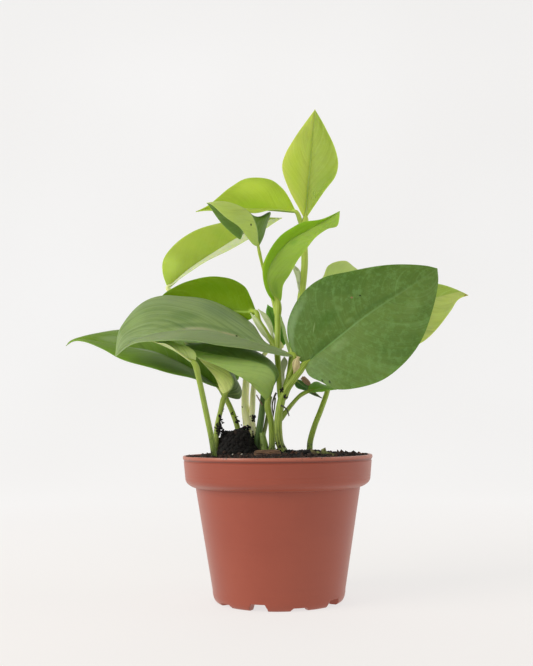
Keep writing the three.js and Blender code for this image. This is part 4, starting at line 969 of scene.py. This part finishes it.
def soilWaves(x, y):
    # sum of plane waves in seeded directions, shorter ones lower
    total = 0
    local = np.random.default_rng(5)
    for length in np.repeat(soil["waves"], soil["wavesEach"]):
        turn, shift = local.uniform(0, 2 * np.pi, 2)
        total = total + soil["waveHeight"] * length ** 0.8 * np.sin(
            (x * np.cos(turn) + y * np.sin(turn)) * 2 * np.pi / length + shift)
    return total


def underCrumbs(x, y):
    # what the crumbs lie on: the soil with its waves a little lower
    return soilLevel(x, y) + soilWaves(x, y) * 0.8


def soilMaterial(name, skin, brown):
    material, tree = newMaterial(name, 0.95)
    here = place(tree)
    lumps = noise(here, 420, 5, 0.7)
    colour = coats(
        blend(fade(lumps, 0.4, 0.7), skin, brown),
        (fade(noise(here, 110, 3), 0.45, 0.65, 0, 0.7), soil["black"]),
        (times(kept(tree, "tint"), 0.8), brown))
    return finish(material, colour, fade(lumps, 0.3, 0.7, 0.85, 1), lumps, 0.0006)


def addSoil():
    angle = circle(soil["columns"])
    ring = (np.linspace(0.002, 1, soil["rings"]) ** 0.75 * soil["radius"])[::-1, None]
    x, y = ring * np.cos(angle), ring * np.sin(angle)
    heap = smoothStep(soilLevel(x, y), soil["edge"] + soil["crown"], soil["edge"] + soil["mound"]["height"])
    z = soilLevel(x, y) + soilWaves(x, y) * smoothStep(soil["radius"] - ring, 0, 2) * (1 + heap)
    lower = [together(r * np.cos(angle), r * np.sin(angle), h) for r, h in soil["lowerRings"]]
    grid = np.concatenate([np.stack(lower), np.stack([x, y, z], -1)])
    line = np.array([[0, 0, soil["lowerRings"][0][1]], [0, 0, z[-1].mean()]])
    vertices, faces, _ = closedTubes([(grid, line, grid[..., :2])])
    peat = soilMaterial("peat", soil["skin"], soil["brown"])
    values = {"tint": np.zeros(len(vertices))}
    newPiece("soil_body", vertices, faces, peat, ["soil"], values, sharp=80)


# Lump that every crumb starts from: an icosahedron, twelve corners and twenty faces
golden = (1 + 5 ** 0.5) / 2
fourCorners = [(-1, golden, 0), (1, golden, 0), (-1, -golden, 0), (1, -golden, 0)]
lumpCorners = unit(np.vstack([np.roll(fourCorners, k, axis=1) for k in range(3)]))
lumpFaces = np.array([(0, 11, 5), (0, 5, 1), (0, 1, 7), (0, 7, 10), (0, 10, 11), (1, 5, 9), (5, 11, 4),
                      (11, 10, 2), (10, 7, 6), (7, 1, 8), (3, 9, 4), (3, 4, 2), (3, 2, 6), (3, 6, 8),
                      (3, 8, 9), (4, 9, 5), (2, 4, 11), (6, 2, 10), (8, 6, 7), (9, 8, 1)])


def turns(count):
    # one random turn for each lump, from three random axes made square to each other; a mirror is undone
    axes = np.linalg.qr(chance.normal(size=(count, 3, 3)))[0]
    return axes * np.sign(np.linalg.det(axes))[:, None, None]


def addLumps(name, places, sizes, material, stretch):
    # each lump is the icosahedron with its corners pulled in or out, stretched, turned and moved
    count = len(places)
    pulled = lumpCorners[None] * chance.uniform(*soil["cornerPull"], (count, 12, 1)) * stretch
    corners = np.einsum("nij,nkj->nki", turns(count), pulled) * sizes[:, None, None] + places[:, None]
    faces = (lumpFaces[None] + 12 * np.arange(count)[:, None, None]).reshape(-1, 3).tolist()
    values = {"tint": np.repeat(chance.uniform(0, 1, count) ** 2, 12)}
    newPiece(name, corners.reshape(-1, 3), faces, material, (), values, sharp=180)


def scatter(count, margin=1.5):
    # places spread evenly over the round soil surface
    reach = np.sqrt(chance.uniform(0, 1, count)) * (soil["radius"] - margin)
    turn = chance.uniform(0, 2 * np.pi, count)
    x, y = reach * np.cos(turn), reach * np.sin(turn)
    return np.stack([x, y, underCrumbs(x, y)], 1)


def onMound(count):
    # places spread over the top and the steep side of the mound: equal shares of the way down its slope
    m = soil["mound"]
    out = np.linspace(0, 1.2, 200)
    fall = m["height"] * np.exp(-(out ** (2 * m["steepness"])))
    way = np.concatenate([[0], np.cumsum(np.hypot(np.diff(out) * m["across"], np.diff(fall)))])
    reach = np.interp(np.sqrt(chance.uniform(0, 1, count)) * way[-1], way, out)
    turn = chance.uniform(0, 2 * np.pi, count)
    x = m["x"] + m["across"] * reach * np.cos(turn)
    y = m["y"] + m["deep"] * reach * np.sin(turn)
    return np.stack([x, y, soilLevel(x, y) + chance.normal(0, 0.6, count)], 1)


# black crumbs that cling to the stalks, lumps and litter on the soil and the rim: middle, spread,
# number, size, and for litter its tone
clusters = {
    "vine": [((3.4, -17.2, 130.5), (0.7, 0.4, 0.6), 7, 0.6), ((5.6, -17.6, 126.6), (0.7, 0.4, 0.7), 9, 0.65),
             ((1.5, -18, 97), (1.5, 1.2, 2.5), 40, 0.45), ((5, -18, 92), (2, 1.2, 1.5), 60, 0.55)],
    "left": [((-33.8, -10.5, 118), (0.3, 0.4, 1.2), 5, 0.45),
             ((-35.2, -11.5, 112.5), (0.5, 0.5, 1.6), 14, 0.55),
             ((-36.8, -11.5, 107), (1.4, 0.8, 1.8), 60, 0.65), ((-28.6, 3, 116), (0.5, 0.5, 0.6), 8, 0.5),
             ((-25.8, 2.5, 112), (0.6, 0.6, 1.2), 16, 0.55)],
    "pale": [((-15.8, 0.2, 113), (0.9, 0.3, 1), 14, 0.65), ((-20, 0, 107.5), (1.4, 0.4, 0.8), 22, 0.75),
             ((-22.3, 2, 120.5), (0.2, 0.2, 0.3), 3, 0.5), ((-17, 0, 102), (1.8, 0.7, 2.5), 34, 0.6),
             ((-13.5, 0, 96), (2.4, 0.9, 2.2), 46, 0.65)],
    "ground": [((7.5, -17, 93.5), (1.5, 1.2, 1), 12, 1.5), ((-33, -26, 91.5), (6, 5, 0.9), 130, 0.8),
               ((14, -22, 91.5), (6, 6, 0.8), 110, 0.8), ((32, -12, 91.2), (8, 10, 0.8), 150, 0.75),
               ((-50, -22, 90.4), (4.5, 5, 0.5), 90, 0.6)],
}
litter = [((30, -22, 91.8), (4.5, 3, 0.5), 14, 1.8, "8f9a58"),
          ((23.8, -22, 93), (0.4, 0.4, 0.8), 4, 1.4, "a58f62"),
          ((13, -28, 91.2), (5, 4, 0.4), 26, 0.9, "6b3f2c"), ((36, 26, 91.5), (9, 8, 0.5), 60, 0.8, "6b3f2c"),
          ((-53, -20, 90.6), (3, 4, 0.3), 14, 0.8, "7a5340")]
frontPerlite = [(-26.8, -36, 91.6), (-21.4, -37, 91.6)]  # two grains that lie at the front


def cluster(middle, spread, count, size, grounded=False):
    # places round a middle, no further off than twice the spread; grounded ones lie on the soil or the lip
    places = middle + chance.normal(0, 1, (count, 3)).clip(-2, 2) * spread
    if grounded:
        reach = np.hypot(places[:, 0], places[:, 1])
        places[:, :2] *= np.minimum(1, (pot["rimRadius"] - soil["lipMargin"]) / reach)[:, None]
        x, y = places[:, 0], places[:, 1]
        onLip = np.hypot(x, y) > soil["radius"] - 0.3
        ground = np.where(onLip, pot["height"], underCrumbs(x, y))
        places[:, 2] = ground + chance.uniform(0, 0.4, count) * size
    return places, np.exp(chance.normal(np.log(size), 0.35, count))


def addCrumbs():
    peat = soilMaterial("crumbs", soil["skin"], soil["brown"])
    earth = soilMaterial("brown crumbs", soil["skin"], soil["earth"])
    for name, places, middle, material in (("soil_crumbs", scatter(soil["crumbs"]), -0.35, earth),
                                           ("mound_crumbs", onMound(soil["mound"]["lumps"]), -0.15, peat)):
        sizes = np.exp(chance.normal(middle, 0.5, len(places))).clip(*soil["crumbSizes"])
        addLumps(name, places, sizes, material, (1.15, 0.9, 0.75))
    for name, groups in clusters.items():
        parts = [cluster(*group, grounded=name == "ground") for group in groups]
        places, sizes = (np.concatenate([part[k] for part in parts]) for k in (0, 1))
        addLumps("crumbs_" + name, places, sizes, peat, (1.1, 0.9, 0.8))
    for i, (middle, spread, count, size, skin) in enumerate(litter):
        places, sizes = cluster(middle, spread, count, size, grounded=True)
        leafy = soilMaterial("litter " + str(i + 1), skin, "4b3a28")
        addLumps("litter_" + str(i + 1), places, sizes, leafy, (1.5, 0.8, 0.35))
    white = np.vstack([scatter(soil["perlite"], 3), frontPerlite])
    sizes = chance.uniform(*soil["perliteSizes"], len(white))
    addLumps("perlite", white, sizes, soilMaterial("perlite grains", soil["white"], "a49c8a"), (1, 0.9, 0.8))


chip = {"place": (-6.2, -27, 91.2), "half": (8.3, 4.5, 2.6), "turn": 0.1, "tilt": 0.12, "skin": "503726",
        "light": "7d5e42", "dark": "23170f"}


def turned(a, b, angle):
    # two coordinates after a turn in their own plane
    return a * np.cos(angle) - b * np.sin(angle), a * np.sin(angle) + b * np.cos(angle)


def addBarkChip():
    # A blunt slab: an oval cross section that narrows to both ends by the fourth root of one less the
    # fourth power of the way, with ridges that run along it.
    t = np.linspace(-0.985, 0.985, 60)[:, None]
    angle = circle(56)[None, :]
    across = (1 - t ** 4) ** 0.25
    ridge = 1 + 0.05 * np.sin(9 * angle + 2 * t) + 0.04 * np.sin(17 * angle - 5 * t)
    ridge = ridge + 0.03 * np.sin(11 * t + 3 * angle)
    x = chip["half"][0] * t + 0 * angle
    y = chip["half"][1] * across * ridge * np.cos(angle)
    z = chip["half"][2] * across * ridge * np.sin(angle)
    y, z = turned(y, z, chip["tilt"])
    x, y = turned(x, y, chip["turn"])
    grid = np.stack([x, y, z], -1) + chip["place"]
    shape = (grid, grid.mean(axis=1), together(angle / (2 * np.pi), t))
    vertices, faces, uv = closedTubes([shape])
    material, tree = newMaterial("bark", 0.85)
    strands = noise(place(tree, (22, 1.2, 1), "UV"), 1, 4)
    colour = coats(blend(fade(strands, 0.4, 0.62), chip["skin"], chip["light"]),
                   (fade(strands, 0.45, 0.32), chip["dark"]))
    finish(material, colour, None, strands, 0.0006)
    newPiece("bark_chip_rough", vertices, faces, material, ["bark_chip"], uv=uv)


addSoil()
addCrumbs()
addBarkChip()
print("soil built")
